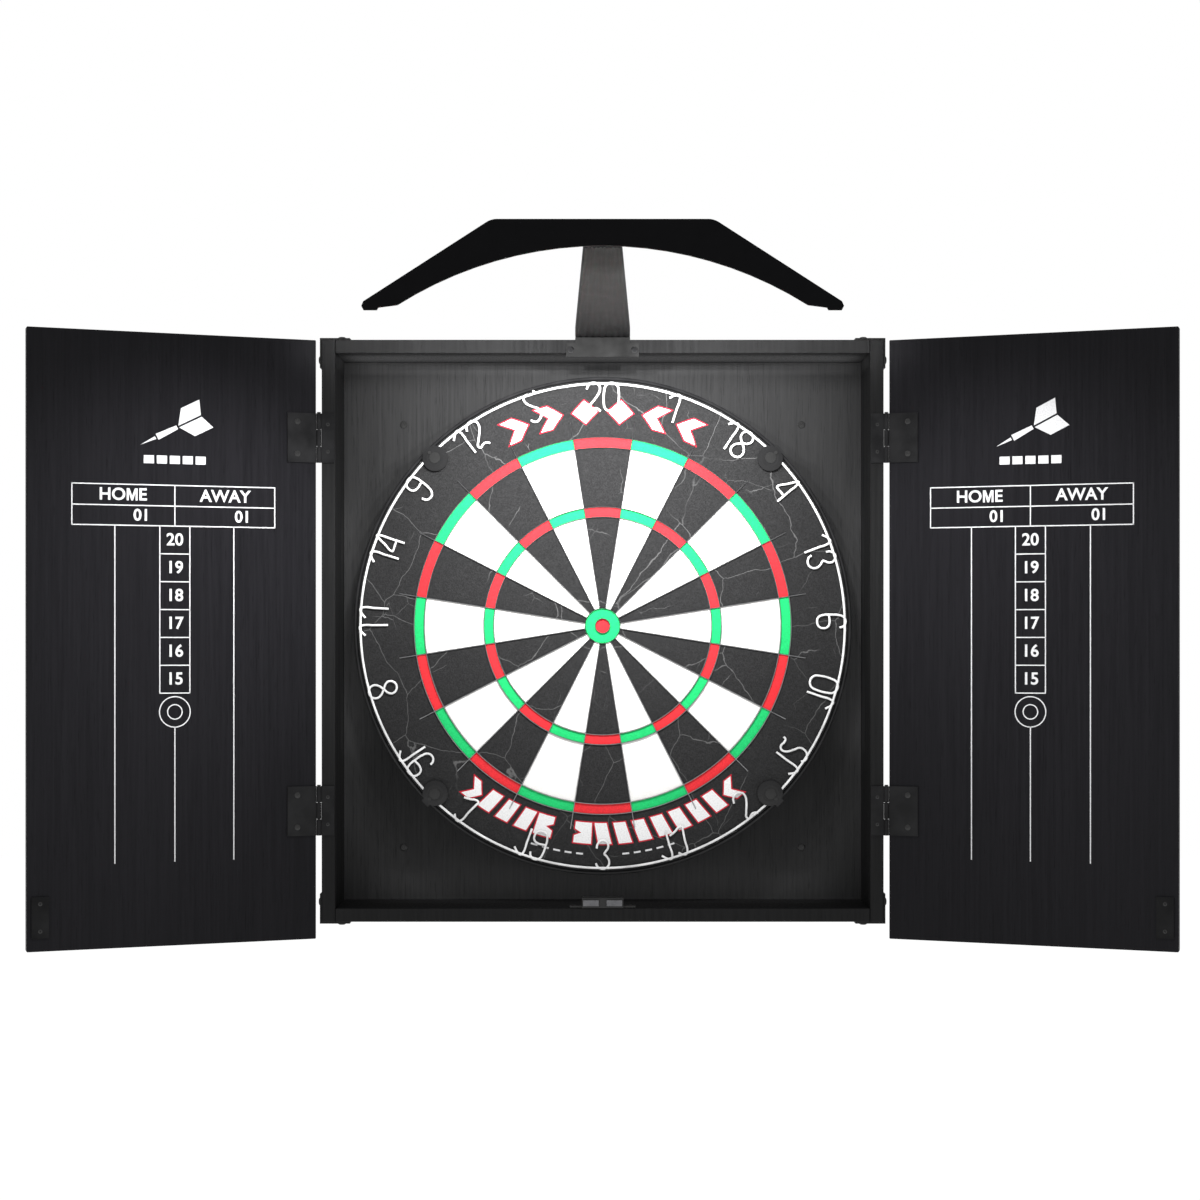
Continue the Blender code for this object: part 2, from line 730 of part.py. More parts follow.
def numeral(number, index, ring):
    """Joins one number's digits to the ring. The lower nine stand upside down to read upright."""
    turn = 90 - 360 * index / SEGMENTS
    upright = not 6 <= index <= 14
    digits = [int(d) for d in str(number)]
    if not upright:
        digits.reverse()
    for place_in_number, digit in enumerate(digits):
        offset = (place_in_number - (len(digits) - 1) / 2) * NUMERAL_PITCH / RING_RADIUS
        angle = math.radians(turn) - offset
        frame = Matrix.Rotation(angle - math.radians(90), 4, "Z") @ Matrix.Translation((0, RING_RADIUS, 0))
        if not upright:
            frame = frame @ Matrix.Rotation(math.pi, 4, "Z") @ Matrix.Translation((0, NUMERAL_HEIGHT, 0))
        shift = Matrix.Translation((-NUMERAL_WIDTH / 2, -NUMERAL_HEIGHT, 0))
        for i, (points, closed) in enumerate(digit_strokes(digit)):
            thickness = NUMERAL_WIRE * (1 - STROKE_TAPER * i)
            scaled = [(x * NUMERAL_HEIGHT, y * NUMERAL_HEIGHT) for x, y in points]
            mesh = wire_mesh(scaled, thickness, closed)
            layer = Matrix.Translation((0, 0, STROKE_LAYER * (i + 0.7)))
            mesh.transform(TURN_TO_FRONT @ layer @ frame @ shift)
            name = f"numeral_{number}_{place_in_number}_{i}"
            stroke = place(name, mesh, None, (0, -RING_DEPTH, BOARD_CENTRE_Z))
            boolean(ring, stroke, "UNION")


def number_ring():
    white_wire = finish("white_wire", (0.8, 0.8, 0.8), 0.4)
    profile = [(RING_RADIUS + x, z) for x, z in reversed(arc((0, 0), RING_WIRE, 30, 330, 5))]
    ring = turned(
        "number_ring", profile, RING_STEPS, white_wire, (0, -RING_DEPTH, BOARD_CENTRE_Z), ring=True
    )
    for index, number in enumerate(NUMBERS):
        numeral(number, index, ring)


def ring_clips():
    """Round clips that carry the number ring and hook over the board's rim."""
    plastic = finish("clip_plastic", (0.02, 0.02, 0.02), 0.5)
    back = BOARD_FACE + CLIP_LIFT
    front = back + CLIP_HEIGHT
    hook_in = BOARD_RADIUS + CLIP_LIFT
    hook_out = hook_in + CLIP_HOOK
    profile = [
        (0, front),
        (CLIP_CROWN, front),
        (CLIP_RADIUS, front - CLIP_EDGE),
        (CLIP_RADIUS, back),
        (0, back),
    ]
    bridge_low = (CLIP_CIRCLE + CLIP_CROWN - 0.002, -front + CLIP_EDGE, -CLIP_HOOK_HALF)
    bridge_high = (hook_out + NUDGE, -back - 5 * NUDGE, CLIP_HOOK_HALF)
    hook_low = (hook_in, -back - 8 * NUDGE, -CLIP_HOOK_HALF + 2 * NUDGE)
    hook_high = (hook_out, -back + CLIP_HOOK_REACH, CLIP_HOOK_HALF - 2 * NUDGE)
    loop_radius = RING_WIRE + GAP + 2 * NUDGE
    loop = [(RING_RADIUS + x, z) for x, z in reversed(arc((0, 0), loop_radius, 0, 315, 7))]
    for i, name in enumerate(("upper_right", "upper_left", "lower_left", "lower_right")):
        turn = math.radians(45 + 90 * i)
        centre = Vector(BOARD_AT) + Vector((math.cos(turn), 0, math.sin(turn))) * CLIP_CIRCLE
        clip = turned(f"ring_clip_{name}", profile, 20, plastic, centre)
        for part, low, high in (("bridge", bridge_low, bridge_high), ("hook", hook_low, hook_high)):
            block = slab(f"clip_{part}_{name}", low, high)
            block.data.transform(Matrix.Translation(block.location))
            block.location = BOARD_AT
            block.rotation_euler = Matrix.Rotation(-turn, 4, "Y").to_euler()
            boolean(clip, block, "UNION")
        channel = turned(f"cut_clip_{name}", loop, 60, None, (0, -RING_DEPTH, BOARD_CENTRE_Z), ring=True)
        boolean(clip, channel, "DIFFERENCE")


# --- Lamp ---------------------------------------------------------------------------------------
def arch(radius, angle, steps):
    """Points of a lamp arc about the board's centre, from the right end over the crown."""
    return arc((0, ARCH_CENTRE_Z), radius, 90 - math.degrees(angle), 90 + math.degrees(angle), steps)


def head_outline(inset=0.0, ends=0.0):
    """The arched head, its top and slants inset, its tips shortened."""
    shoulder_x, shoulder_z = HEAD_SHOULDER
    slope = (HEAD_TOP - shoulder_z) / (shoulder_x - HEAD_TOP_HALF)
    top = HEAD_TOP - inset
    drop = inset * math.hypot(1, slope)
    tip_x = shoulder_x - ends
    tip_z = HEAD_TOP - slope * (tip_x - HEAD_TOP_HALF) - drop
    corner = HEAD_TOP_HALF - (drop - inset) / slope
    if ends:
        right = [(corner, top), (tip_x, tip_z), (tip_x, tip_z - CHANNEL_END_HEIGHT)]
    else:
        step_x, step_z = HEAD_TIP_STEP
        right = [
            (corner, top),
            (tip_x, tip_z),
            (shoulder_x + TIP_CHAMFER / 2, HEAD_TIP_Z + TIP_CHAMFER),
            (shoulder_x, HEAD_TIP_Z),
            (step_x, HEAD_TIP_Z),
            (step_x - 0.001, step_z),
        ]
    radius = ARCH_RADIUS + inset * 0.3
    lower = arch(radius, math.asin(HEAD_ARCH_END / ARCH_RADIUS), 20)
    left = [(-x, z) for x, z in reversed(right)]
    return right + lower + left


def sector(inner, outer, angle, steps):
    return arch(inner, angle, steps) + list(reversed(arch(outer, angle, steps)))


def lamp_head():
    black = finish("lamp_black", (0.006, 0.006, 0.006), 0.35)
    grey = finish("lamp_channel_grey", (0.05, 0.05, 0.05), 0.45, 0.3)
    white = finish("diffuser_white", (0.9, 0.9, 0.88), 0.4)
    back_of_plate = HEAD_FACE - HEAD_PLATE
    plate("light_head_plate", head_outline(), back_of_plate, HEAD_FACE, black)
    front = back_of_plate - GAP
    back = front - CHANNEL_DEPTH
    channel = plate("light_led_channel", head_outline(CHANNEL_INSET, CHANNEL_SHORT), back, front, grey)
    groove_back, groove_front = back + GROOVE_WALLS[0], front - GROOVE_WALLS[1]
    groove_floor = ARCH_RADIUS - CHANNEL_INSET
    groove = plate(
        "cut_diffuser",
        sector(groove_floor, GROOVE_ROOF, DIFFUSER_ANGLE + math.radians(0.1), 18),
        groove_back,
        groove_front,
    )
    boolean(channel, groove, "DIFFERENCE")
    plate(
        "light_diffuser",
        sector(GROOVE_ROOF - GAP - DIFFUSER_THICKNESS, GROOVE_ROOF - GAP, DIFFUSER_ANGLE, 18),
        groove_back + GAP,
        groove_front - GAP,
        white,
    )
    socket_profile = [
        (0, SOCKET_FLOOR),
        (SOCKET_BORE, SOCKET_FLOOR),
        (SOCKET_BORE, SOCKET_LENGTH),
        (SOCKET_RADIUS, SOCKET_LENGTH),
        (SOCKET_RADIUS, 0),
        (0, 0),
    ]
    x, z = SOCKET_AT
    to_wall = Matrix.Rotation(math.radians(-90), 4, "X")
    turned("light_power_socket", socket_profile, 16, black, (x, -back + GAP, z), to_wall)
    return back


def lamp_foot(panels):
    """A bent steel foot on the case's top. Its lip and ears hang over the front edge."""
    sheet = FOOT_SHEET
    top = CASE_TOP + GAP
    front = CASE_DEPTH + GAP
    section = [
        (front + sheet, top + sheet),
        (FOOT_BACK, top + sheet),
        (FOOT_BACK, top),
        (front, top),
        (front, EAR_BOTTOM),
        (front + sheet, EAR_BOTTOM),
    ]
    half = ARM_ROOT_WIDTH / 2
    foot = plate("light_foot", section, -half, half, BLACK_STEEL)
    foot.data.transform(Matrix.Rotation(math.radians(-90), 4, "Z"))
    ears = slab(
        "light_foot_ears",
        (-EAR_HALF, -front - NUDGE, EAR_BOTTOM + NUDGE),
        (EAR_HALF, -front - sheet + NUDGE, EAR_TOP),
    )
    boolean(foot, ears, "UNION")
    x, z = FOOT_SCREW
    for hand, side in (("left", -1), ("right", 1)):
        point = (side * x, -CASE_DEPTH, z)
        hole = 2 * FOOT_SCREW_SIZE[0]
        drill(foot, point, "Y", PILOT_HOLE, hole, f"cut_foot_{hand}")
        drill(panels[0, 1], point, "Y", PILOT_HOLE, hole, f"cut_top_{hand}")
        seat = (side * x, -front - sheet, z)
        pan_screw(f"light_foot_screw_{hand}", seat, (0, -1, 0), *FOOT_SCREW_SIZE)
    return top + sheet


def lamp_arm(head_back, foot_top):
    """A flat arm that lies on the foot, then rises to the head and narrows on the way."""
    steel = finish("arm_steel", (0.06, 0.06, 0.06), 0.45, 0.4)
    under = foot_top + GAP
    bend, tip = CASE_DEPTH + ARM_BEND_OUT, head_back - GAP
    section = [
        (FOOT_BACK, under + ARM_THICKNESS["root"]),
        (FOOT_BACK, under),
        (bend, under),
        (tip, under + ARM_RISE),
        (tip, under + ARM_RISE + ARM_THICKNESS["tip"]),
        (bend, under + ARM_THICKNESS["bend"]),
    ]
    arm = plate("light_arm", section, -ARM_ROOT_WIDTH / 2, ARM_ROOT_WIDTH / 2, steel)
    arm.data.transform(Matrix.Rotation(math.radians(-90), 4, "Z"))
    for corner in arm.data.vertices:
        along = max(0.0, (-corner.co.y - bend) / (tip - bend))
        corner.co.x *= 1 - along * (1 - ARM_TIP_WIDTH / ARM_ROOT_WIDTH)


def smooth_round_pieces():
    for piece in PARTS.objects:
        if piece.type == "MESH":
            piece.data.shade_smooth()
            piece.data.set_sharp_from_angle(angle=math.radians(35))


case = case_panels()
corner_brackets(case)
for hand_name, hand_side in (("left", -1), ("right", 1)):
    door(hand_name, hand_side)
magnetic_catch()
hanger()
board_core()
wires()
board_feet()
number_ring()
ring_clips()
head_rear = lamp_head()
lamp_arm(head_rear, lamp_foot(case))
smooth_round_pieces()
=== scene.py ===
"""The looks of the dart board cabinet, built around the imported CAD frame.

Metres, +Z up, the front faces -Y and the wall face lies on y = 0. Angles on the board run anticlockwise
from +X.
"""

import json
import math

import bmesh
import bpy
from mathutils import Matrix, Vector


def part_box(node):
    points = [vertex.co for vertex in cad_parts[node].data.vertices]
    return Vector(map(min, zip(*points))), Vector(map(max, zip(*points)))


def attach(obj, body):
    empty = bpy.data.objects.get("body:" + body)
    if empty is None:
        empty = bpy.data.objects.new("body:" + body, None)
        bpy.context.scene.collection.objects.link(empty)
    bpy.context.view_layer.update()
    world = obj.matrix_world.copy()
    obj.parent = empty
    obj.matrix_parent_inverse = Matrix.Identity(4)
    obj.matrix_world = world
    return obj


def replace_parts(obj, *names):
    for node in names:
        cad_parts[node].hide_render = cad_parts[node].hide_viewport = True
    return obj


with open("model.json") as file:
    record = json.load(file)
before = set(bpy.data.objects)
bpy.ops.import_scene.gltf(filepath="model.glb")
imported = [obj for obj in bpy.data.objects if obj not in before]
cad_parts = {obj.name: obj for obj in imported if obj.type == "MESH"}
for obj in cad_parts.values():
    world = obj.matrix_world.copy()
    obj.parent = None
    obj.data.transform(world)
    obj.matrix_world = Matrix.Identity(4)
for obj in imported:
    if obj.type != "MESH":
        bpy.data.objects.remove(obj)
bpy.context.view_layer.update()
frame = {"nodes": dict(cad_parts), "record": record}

# --- Places, from the frame ---
JOINTS = {joint["name"]: joint for joint in frame["record"]["behaviour"]["joints"]}
SIDES = (("left", -1), ("right", 1))
HINGE = {side: Vector(JOINTS[f"door_{hand}_hinge"]["pos_m"]) for hand, side in SIDES}
OPEN_ANGLE = math.radians(JOINTS["door_left_hinge"]["range_deg"][1])
BOARD_CENTRE = Vector((0, 0, JOINTS["board_turn"]["pos_m"][2]))
SISAL_LOW, SISAL_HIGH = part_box("sisal_face")
BOARD_FACE = -SISAL_LOW.y  # distances off the wall
SISAL_REAR = -SISAL_HIGH.y
SISAL_RADIUS = (SISAL_HIGH.x - SISAL_LOW.x) / 2
RIM_LOW, RIM_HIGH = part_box("rim_band")
RIM_RADIUS = (RIM_HIGH.x - RIM_LOW.x) / 2
FRONT_PLANE = -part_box("case_left")[0].y
CASE_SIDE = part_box("case_right")[1].x
BACK_SHEET = -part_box("case_back")[0].y
TO_FRONT = Matrix.Rotation(math.radians(90), 4, "X")  # (x, y, z) goes to (x, -z, y)

# --- The board's standard sizes ---
SEGMENTS = 20
NUMBERS = (20, 1, 18, 4, 13, 6, 10, 15, 2, 17, 3, 19, 7, 16, 8, 11, 14, 9, 12, 5)
INNER_BULL, OUTER_BULL = 0.00635, 0.0159
TREBLE = (0.0985, 0.1075)
DOUBLE = (0.1612, 0.1705)
WIRE_REACH = 0.186
BULL_ABOVE_FLOOR = 1.73
RING_RADIUS = 0.219
RING_DEPTH = 0.0508  # from the wall to the middle of the number ring's wire
RING_WIRE = 0.00108  # radius
NUMERAL_WIRE = RING_WIRE * 0.92
NUMERAL_HEIGHT = 0.0258
NUMERAL_WIDTH = NUMERAL_HEIGHT / 2
NUMERAL_PITCH = 0.0165
NUMERAL_LAP = 0.0008  # how far a numeral's end runs past the ring wire's middle
NUMERAL_LIFT = 0.019  # radians: the bent numerals sit a little high on both sides
NUMERAL_STRAY = {2: 0.030, 8: -0.014, 17: -0.008}  # and these a little further round


# --- Materials ---
class Look:
    """A material: a Principled shader, with short calls for the patterns that drive it."""

    def __init__(self, name, roughness=0.5, metallic=0.0, specular=0.5):
        self.material = bpy.data.materials.new(name)
        self.material.use_nodes = True
        self.tree = self.material.node_tree
        self.shader = self.tree.nodes["Principled BSDF"]
        self.shader.inputs["Roughness"].default_value = roughness
        self.shader.inputs["Metallic"].default_value = metallic
        self.shader.inputs["Specular IOR Level"].default_value = specular
        self.place = self.tree.nodes.new("ShaderNodeTexCoord").outputs["Object"]

    def put(self, socket, value):
        if isinstance(value, bpy.types.NodeSocket):
            self.tree.links.new(value, socket)
        else:
            socket.default_value = value

    def node(self, kind, inputs, **settings):
        made = self.tree.nodes.new("ShaderNode" + kind)
        for name, value in settings.items():
            setattr(made, name, value)
        for name, value in inputs.items():
            self.put(made.inputs[name], value)
        return made

    def stretched(self, scale):
        return self.node("Mapping", {"Vector": self.place, "Scale": scale}).outputs[0]

    def noise(self, scale, stretch=(1, 1, 1), detail=3.0):
        inputs = {"Vector": self.stretched(stretch), "Scale": scale, "Detail": detail}
        return self.node("TexNoise", inputs).outputs[0]

    def levels(self, value, low, high, to_low=0.0, to_high=1.0):
        inputs = {"Value": value, "From Min": low, "From Max": high, "To Min": to_low, "To Max": to_high}
        return self.node("MapRange", inputs).outputs[0]

    def mix(self, factor, first, second):
        made = self.tree.nodes.new("ShaderNodeMix")
        made.data_type = "RGBA"
        self.put(made.inputs[0], factor)
        for socket, value in ((made.inputs[6], first), (made.inputs[7], second)):
            self.put(socket, (*value, 1) if isinstance(value, tuple) else value)
        return made.outputs[2]

    def times(self, first, second):
        return self.node("Math", {0: first, 1: second}, operation="MULTIPLY").outputs[0]

    def colour(self, value):
        self.put(self.shader.inputs["Base Color"], value)

    def rough(self, value, low, high):
        self.put(self.shader.inputs["Roughness"], self.levels(value, 0.3, 0.7, low, high))

    def bump(self, height, depth, under=None):
        """Adds a height pattern, depth metres deep, on top of another one's normal."""
        inputs = {"Height": height, "Distance": depth, "Strength": 1.0}
        if under:
            inputs["Normal"] = under
        normal = self.node("Bump", inputs).outputs[0]
        self.put(self.shader.inputs["Normal"], normal)
        return normal


def laminate(name, dark, light):
    """Black board with fine upright woodgrain: long streaks, short pores and a slow drift in tone."""
    look = Look(name, 0.5, specular=0.08)
    streaks = look.noise(420, (1, 1, 0.022), 4)
    pores = look.levels(look.noise(1500, (1, 1, 0.035), 2), 0.60, 0.70)
    drift = look.noise(9, (1, 1, 0.35), 2)
    tone = look.mix(look.levels(streaks, 0.35, 0.68), dark, light)
    tone = look.mix(look.times(pores, 0.55), tone, tuple(c * 0.35 for c in dark))
    tone = look.mix(look.levels(drift, 0.3, 0.7, 0.0, 0.35), tone, light)
    look.colour(tone)
    look.rough(streaks, 0.42, 0.60)
    under = look.bump(streaks, 0.00008)
    look.bump(look.levels(pores, 0, 1, 1, 0), 0.00005, under)
    return look


BARE_FROM = (-0.0006, -0.0004)  # the back sheet is foiled in front of this depth and bare behind it


def back_sheet_look():
    """Pressed sheet: black foil on the front, bare brown board on the wall side."""
    look = laminate("back_sheet_finish", (0.0245, 0.0245, 0.025), (0.0335, 0.0335, 0.034))
    foil = look.shader.inputs["Base Color"].links[0].from_socket
    depth = look.node("SeparateXYZ", {"Vector": look.place}).outputs["Y"]
    rear = look.levels(depth, *BARE_FROM)
    fibres = look.mix(look.noise(700, (1, 1, 1), 5), (0.10, 0.055, 0.03), (0.22, 0.135, 0.08))
    look.colour(look.mix(rear, foil, fibres))
    return look


def coated(name, colour, roughness=0.42, specular=0.3):
    """Powder coat: fine orange peel, a slight change of sheen, and rubbed spots."""
    look = Look(name, roughness, specular=specular)
    peel = look.noise(1400, detail=2)
    drift = look.noise(60, detail=3)
    lighter = tuple(min(1.0, c * 1.6 + 0.004) for c in colour)
    look.colour(look.mix(look.levels(drift, 0.35, 0.75), colour, lighter))
    look.rough(drift, roughness - 0.06, roughness + 0.1)
    look.bump(peel, 0.00004)
    return look


def steel(name, colour, roughness=0.32, stretch=(1, 1, 8)):
    """Bare metal with drawn streaks."""
    look = Look(name, roughness, 1.0)
    streaks = look.noise(1800, stretch, 3)
    spots = look.noise(160, detail=3)
    darker = tuple(c * 0.7 for c in colour)
    look.colour(look.mix(look.levels(spots, 0.3, 0.75), darker, colour))
    look.rough(streaks, roughness - 0.08, roughness + 0.12)
    look.bump(streaks, 0.00002)
    return look


def moulded(name, colour, roughness=0.5, specular=0.35):
    """Moulded plastic with a fine spark-eroded texture."""
    look = Look(name, roughness, specular=specular)
    grain = look.noise(2600, detail=1)
    drift = look.noise(90, detail=2)
    look.colour(look.mix(look.levels(drift, 0.3, 0.7), tuple(c * 0.85 for c in colour), colour))
    look.rough(drift, roughness - 0.05, roughness + 0.07)
    look.bump(grain, 0.00005)
    return look


def fibre_ends(name, colour, contrast=0.25, veins=None):
    """Sisal seen end on: packed bristle tips, uneven dye and, on black, a pale branching crackle."""
    look = Look(name, 0.88, specular=0.12)
    cells = look.node("TexVoronoi", {"Vector": look.place, "Scale": 1500.0, "Randomness": 1.0})
    tips = look.node("SeparateColor", {"Color": cells.outputs["Color"]}).outputs[0]
    clumps = look.noise(240, detail=4)
    dark = tuple(c * (1 - contrast) for c in colour)
    light = tuple(min(1.0, c * (1 + contrast)) for c in colour)
    tone = look.mix(look.levels(tips, 0.1, 0.9), dark, light)
    tone = look.mix(look.levels(clumps, 0.35, 0.75, 0.0, 0.4), tone, dark)
    if veins:
        tone = crackle(look, tone, veins)
    look.colour(tone)
    under = look.bump(cells.outputs["Distance"], 0.00012)
    look.bump(clumps, 0.00018, under)
    return look


VEINS = ((13.0, 0.0046, 0.38, 0.47), (27.0, 0.0048, 0.56, 0.63))  # cell scale, breadth, fades in from and to


def crackle(look, tone, vein_colour):
    """Hairlines along the edges of large cells, kinked by a slow warp, fading out here and there."""
    warp = look.node("TexNoise", {"Vector": look.place, "Scale": 14.0, "Detail": 6.0}).outputs[1]
    moved = look.node("MixRGB", {"Fac": 0.035, "Color1": look.place, "Color2": warp}).outputs[0]
    lines = []
    for scale, breadth, low, high in VEINS:
        inputs = {"Vector": moved, "Scale": scale, "Randomness": 1.0}
        edge = look.node("TexVoronoi", inputs, feature="DISTANCE_TO_EDGE").outputs["Distance"]
        line = look.levels(edge, breadth * 0.3, breadth, 1.0, 0.0)
        lines.append(look.times(line, look.levels(look.noise(scale * 0.9, detail=2), low, high)))
    line = look.node("Math", {0: lines[0], 1: lines[1]}, operation="MAXIMUM").outputs[0]
    return look.mix(line, tone, vein_colour)


def ink(name, colour):
    """Screen-printed ink with a slightly uneven cover."""
    look = Look(name, 0.6, specular=0.2)
    cover = look.noise(900, detail=4)
    thin = tuple(c * 0.76 for c in colour)
    look.colour(look.mix(look.levels(cover, 0.28, 0.55), thin, colour))
    look.rough(cover, 0.5, 0.68)
    look.bump(cover, 0.00002)
    return look


def pressed_board(name):
    """Chipboard: brown chips lying level, rough all over."""
    look = Look(name, 0.9, specular=0.1)
    chips = look.noise(260, (1, 3, 1), 5)
    look.colour(look.mix(look.levels(chips, 0.35, 0.65), (0.11, 0.065, 0.035), (0.25, 0.16, 0.09)))
    look.rough(chips, 0.82, 0.95)
    look.bump(chips, 0.0002)
    return look


def glowing(name, strength):
    """The lamp's diffuser: milky plastic lit from behind, faintly mottled."""
    look = Look(name, 0.45)
    mottle = look.noise(500, detail=2)
    look.colour(look.mix(mottle, (0.86, 0.86, 0.85), (0.95, 0.95, 0.94)))
    look.put(look.shader.inputs["Emission Color"], look.mix(mottle, (0.93, 0.96, 1.0), (1.0, 1.0, 1.0)))
    look.shader.inputs["Emission Strength"].default_value = strength
    look.rough(mottle, 0.4, 0.5)
    look.bump(mottle, 0.00003)
    return look


LOOKS = {
    "case_board": laminate("case_laminate", (0.0108, 0.0108, 0.0110), (0.0165, 0.0165, 0.0168)),
    "back_sheet": back_sheet_look(),
    "door_board": laminate("door_laminate", (0.0082, 0.0080, 0.0094), (0.0122, 0.0119, 0.0138)),
    "bracket_steel": coated("bracket_coat", (0.010, 0.010, 0.010), specular=0.15),
    "screw_steel": coated("screw_oxide", (0.016, 0.016, 0.016), 0.36, 0.4),
    "hinge_steel": coated("hinge_coat", (0.0085, 0.0085, 0.009), 0.38, 0.15),
    "strike_steel": coated("strike_coat", (0.0062, 0.0062, 0.0066), 0.4, 0.1),
    "catch_plastic": moulded("catch_moulding", (0.022, 0.022, 0.022)),
    "magnet_plate": steel("magnet_plate_steel", (0.20, 0.20, 0.21), 0.42),
    "hanger_steel": coated("hanger_coat", (0.015, 0.015, 0.015)),
    "backing_board": pressed_board("backing_chipboard"),
    "rim_steel": coated("rim_coat", (0.010, 0.010, 0.0105), 0.4),
    "blade_wire": steel("blade_steel", (0.50, 0.50, 0.51), 0.45, (1, 1, 1)),
    "bull_cup_steel": steel("bull_cup_bare", (0.33, 0.33, 0.34), 0.35),
    "bolt_steel": steel("bolt_zinc", (0.50, 0.50, 0.52), 0.3),
    "rubber": moulded("foot_rubber", (0.018, 0.018, 0.018), 0.8, 0.2),
    "white_wire": coated("white_coat", (0.66, 0.66, 0.66), 0.38, 0.4),
    "clip_plastic": moulded("clip_moulding", (0.015, 0.015, 0.0155), 0.4, 0.3),
    "lamp_black": moulded("lamp_satin", (0.0042, 0.0042, 0.0048), 0.5, 0.06),
    "lamp_channel": coated("channel_anodised", (0.015, 0.015, 0.0155), 0.45, 0.25),
    "diffuser": glowing("diffuser_glow", 1.6),
    "arm_steel": coated("arm_coat", (0.0205, 0.0205, 0.021), 0.5, 0.1),
    "foot_steel": coated("foot_coat", (0.0105, 0.0105, 0.0105), 0.45, 0.15),
    "foot_screw_steel": steel("foot_screw_bright", (0.17, 0.17, 0.175), 0.34),
}
BED_LOOKS = {
    "black": fibre_ends("sisal_black", (0.0255, 0.0255, 0.026), 0.3, (0.105, 0.105, 0.105)),
    "white": fibre_ends("sisal_white", (0.80, 0.79, 0.77), 0.05),
    "red": fibre_ends("sisal_red", (0.70, 0.034, 0.042), 0.14),
    "green": fibre_ends("sisal_green", (0.020, 0.52, 0.150), 0.14),
}
WHITE_INK = ink("white_ink", (0.80, 0.80, 0.80))
DOOR_INK = ink("door_ink", (0.66, 0.66, 0.67))
RED_INK = ink("red_ink", (0.52, 0.018, 0.035))

# Slots without an entry here belong to nodes that a piece below replaces.
for entry in frame["record"]["subparts"]:
    node, slot = frame["nodes"][entry["node"]], entry["material_slot"]
    if slot in LOOKS:
        node.data.materials.clear()
        node.data.materials.append(LOOKS[slot].material)


# --- Making pieces ---
WELD = 0.000005


def piece(name, data, body, looks, at=None):
    """A new piece that rides on a body and takes its finishes from the looks it is given."""
    made = bpy.data.objects.new(name, data)
    bpy.context.scene.collection.objects.link(made)
    for look in looks:
        data.materials.append(look.material)
    if at is not None:
        made.matrix_world = at
    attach(made, body)
    return made


def mesh_of(shape, name, sharp=35):
    """The mesh of a bmesh, smooth except at edges sharper than so many degrees."""
    mesh = bpy.data.meshes.new(name)
    shape.to_mesh(mesh)
    shape.free()
    mesh.shade_smooth()
    mesh.set_sharp_from_angle(angle=math.radians(sharp))
    return mesh


def evaluated(data):
    """The mesh of a curve, a text or an object with modifiers, which then goes."""
    holder = data if isinstance(data, bpy.types.Object) else bpy.data.objects.new("holder", data)
    if not holder.users_collection:
        bpy.context.scene.collection.objects.link(holder)
    bpy.context.view_layer.update()
    mesh = bpy.data.meshes.new_from_object(holder.evaluated_get(bpy.context.evaluated_depsgraph_get()))
    bpy.data.objects.remove(holder)
    return mesh


def merged(name, meshes):
    """One mesh from several, each with its own matrix and its own welded points."""
    whole = bmesh.new()
    for mesh, matrix in meshes:
        part = bmesh.new()
        part.from_mesh(mesh)
        bmesh.ops.remove_doubles(part, verts=part.verts, dist=WELD)
        bmesh.ops.transform(part, matrix=matrix, verts=part.verts)
        part.to_mesh(mesh)
        part.free()
        whole.from_mesh(mesh)
    return mesh_of(whole, name)


def arc(centre, radius, start, end, steps):
    """Points on an arc, from one angle in degrees to another."""
    turns = [math.radians(start + (end - start) * i / steps) for i in range(steps + 1)]
    return [(centre[0] + radius * math.cos(t), centre[1] + radius * math.sin(t)) for t in turns]


def flat_curve(outlines, thickness):
    """A filled 2D curve, with any inner outlines as holes, thickness thick about z = 0."""
    curve = bpy.data.curves.new("flat", "CURVE")
    curve.dimensions = "2D"
    curve.fill_mode = "BOTH"
    curve.extrude = thickness / 2
    for outline in outlines:
        spline = curve.splines.new("POLY")
        spline.points.add(len(outline) - 1)
        for point, (x, y) in zip(spline.points, outline):
            point.co = (x, y, 0, 1)
        spline.use_cyclic_u = True
    return curve


def lathe(profile, steps):
    """A closed profile of (radius, height) turned about the Z axis."""
    shape = bmesh.new()
    rows = [[shape.verts.new((r, 0, h)) for r, h in profile]]
    for i in range(1, steps):
        turn = math.tau * i / steps
        rows.append([shape.verts.new((r * math.cos(turn), r * math.sin(turn), h)) for r, h in profile])
    for i, row in enumerate(rows):
        after = rows[(i + 1) % steps]
        for j in range(len(profile)):
            k = (j + 1) % len(profile)
            shape.faces.new((row[j], after[j], after[k], row[k]))
    bmesh.ops.remove_doubles(shape, verts=shape.verts, dist=0.000002)
    bmesh.ops.recalc_face_normals(shape, faces=shape.faces)
    return shape


def facing(outward):
    """Turns a shape that stands on z = 0 to face outward."""
    return Vector(outward).to_track_quat("Z", "Y").to_matrix().to_4x4()


# --- Board ---
BULL_INSET = 0.0007  # the green bed ends this far inside the outer bull's radius
STEPS_PER_SEGMENT = 12
ROUND_OVER = 0.0012
BLADE_HALF = 0.00055
BLADE_EDGE = 0.00024
BLADE_HEIGHT = 0.0015
SPOKE_SHARE = 0.93  # a spoke's height as a share of a ring's


def board_point(radius, angle, off_wall):
    return Vector((radius * math.cos(angle), -off_wall, BOARD_CENTRE.z + radius * math.sin(angle)))


def bed_colour(ring, segment):
    """Colours of the beds from the bull outwards. Segment 0 is the 20 at the top."""
    single, multiple = ("white", "green") if segment % 2 else ("black", "red")
    return ("red", "green", single, multiple, single, multiple, "black")[ring]


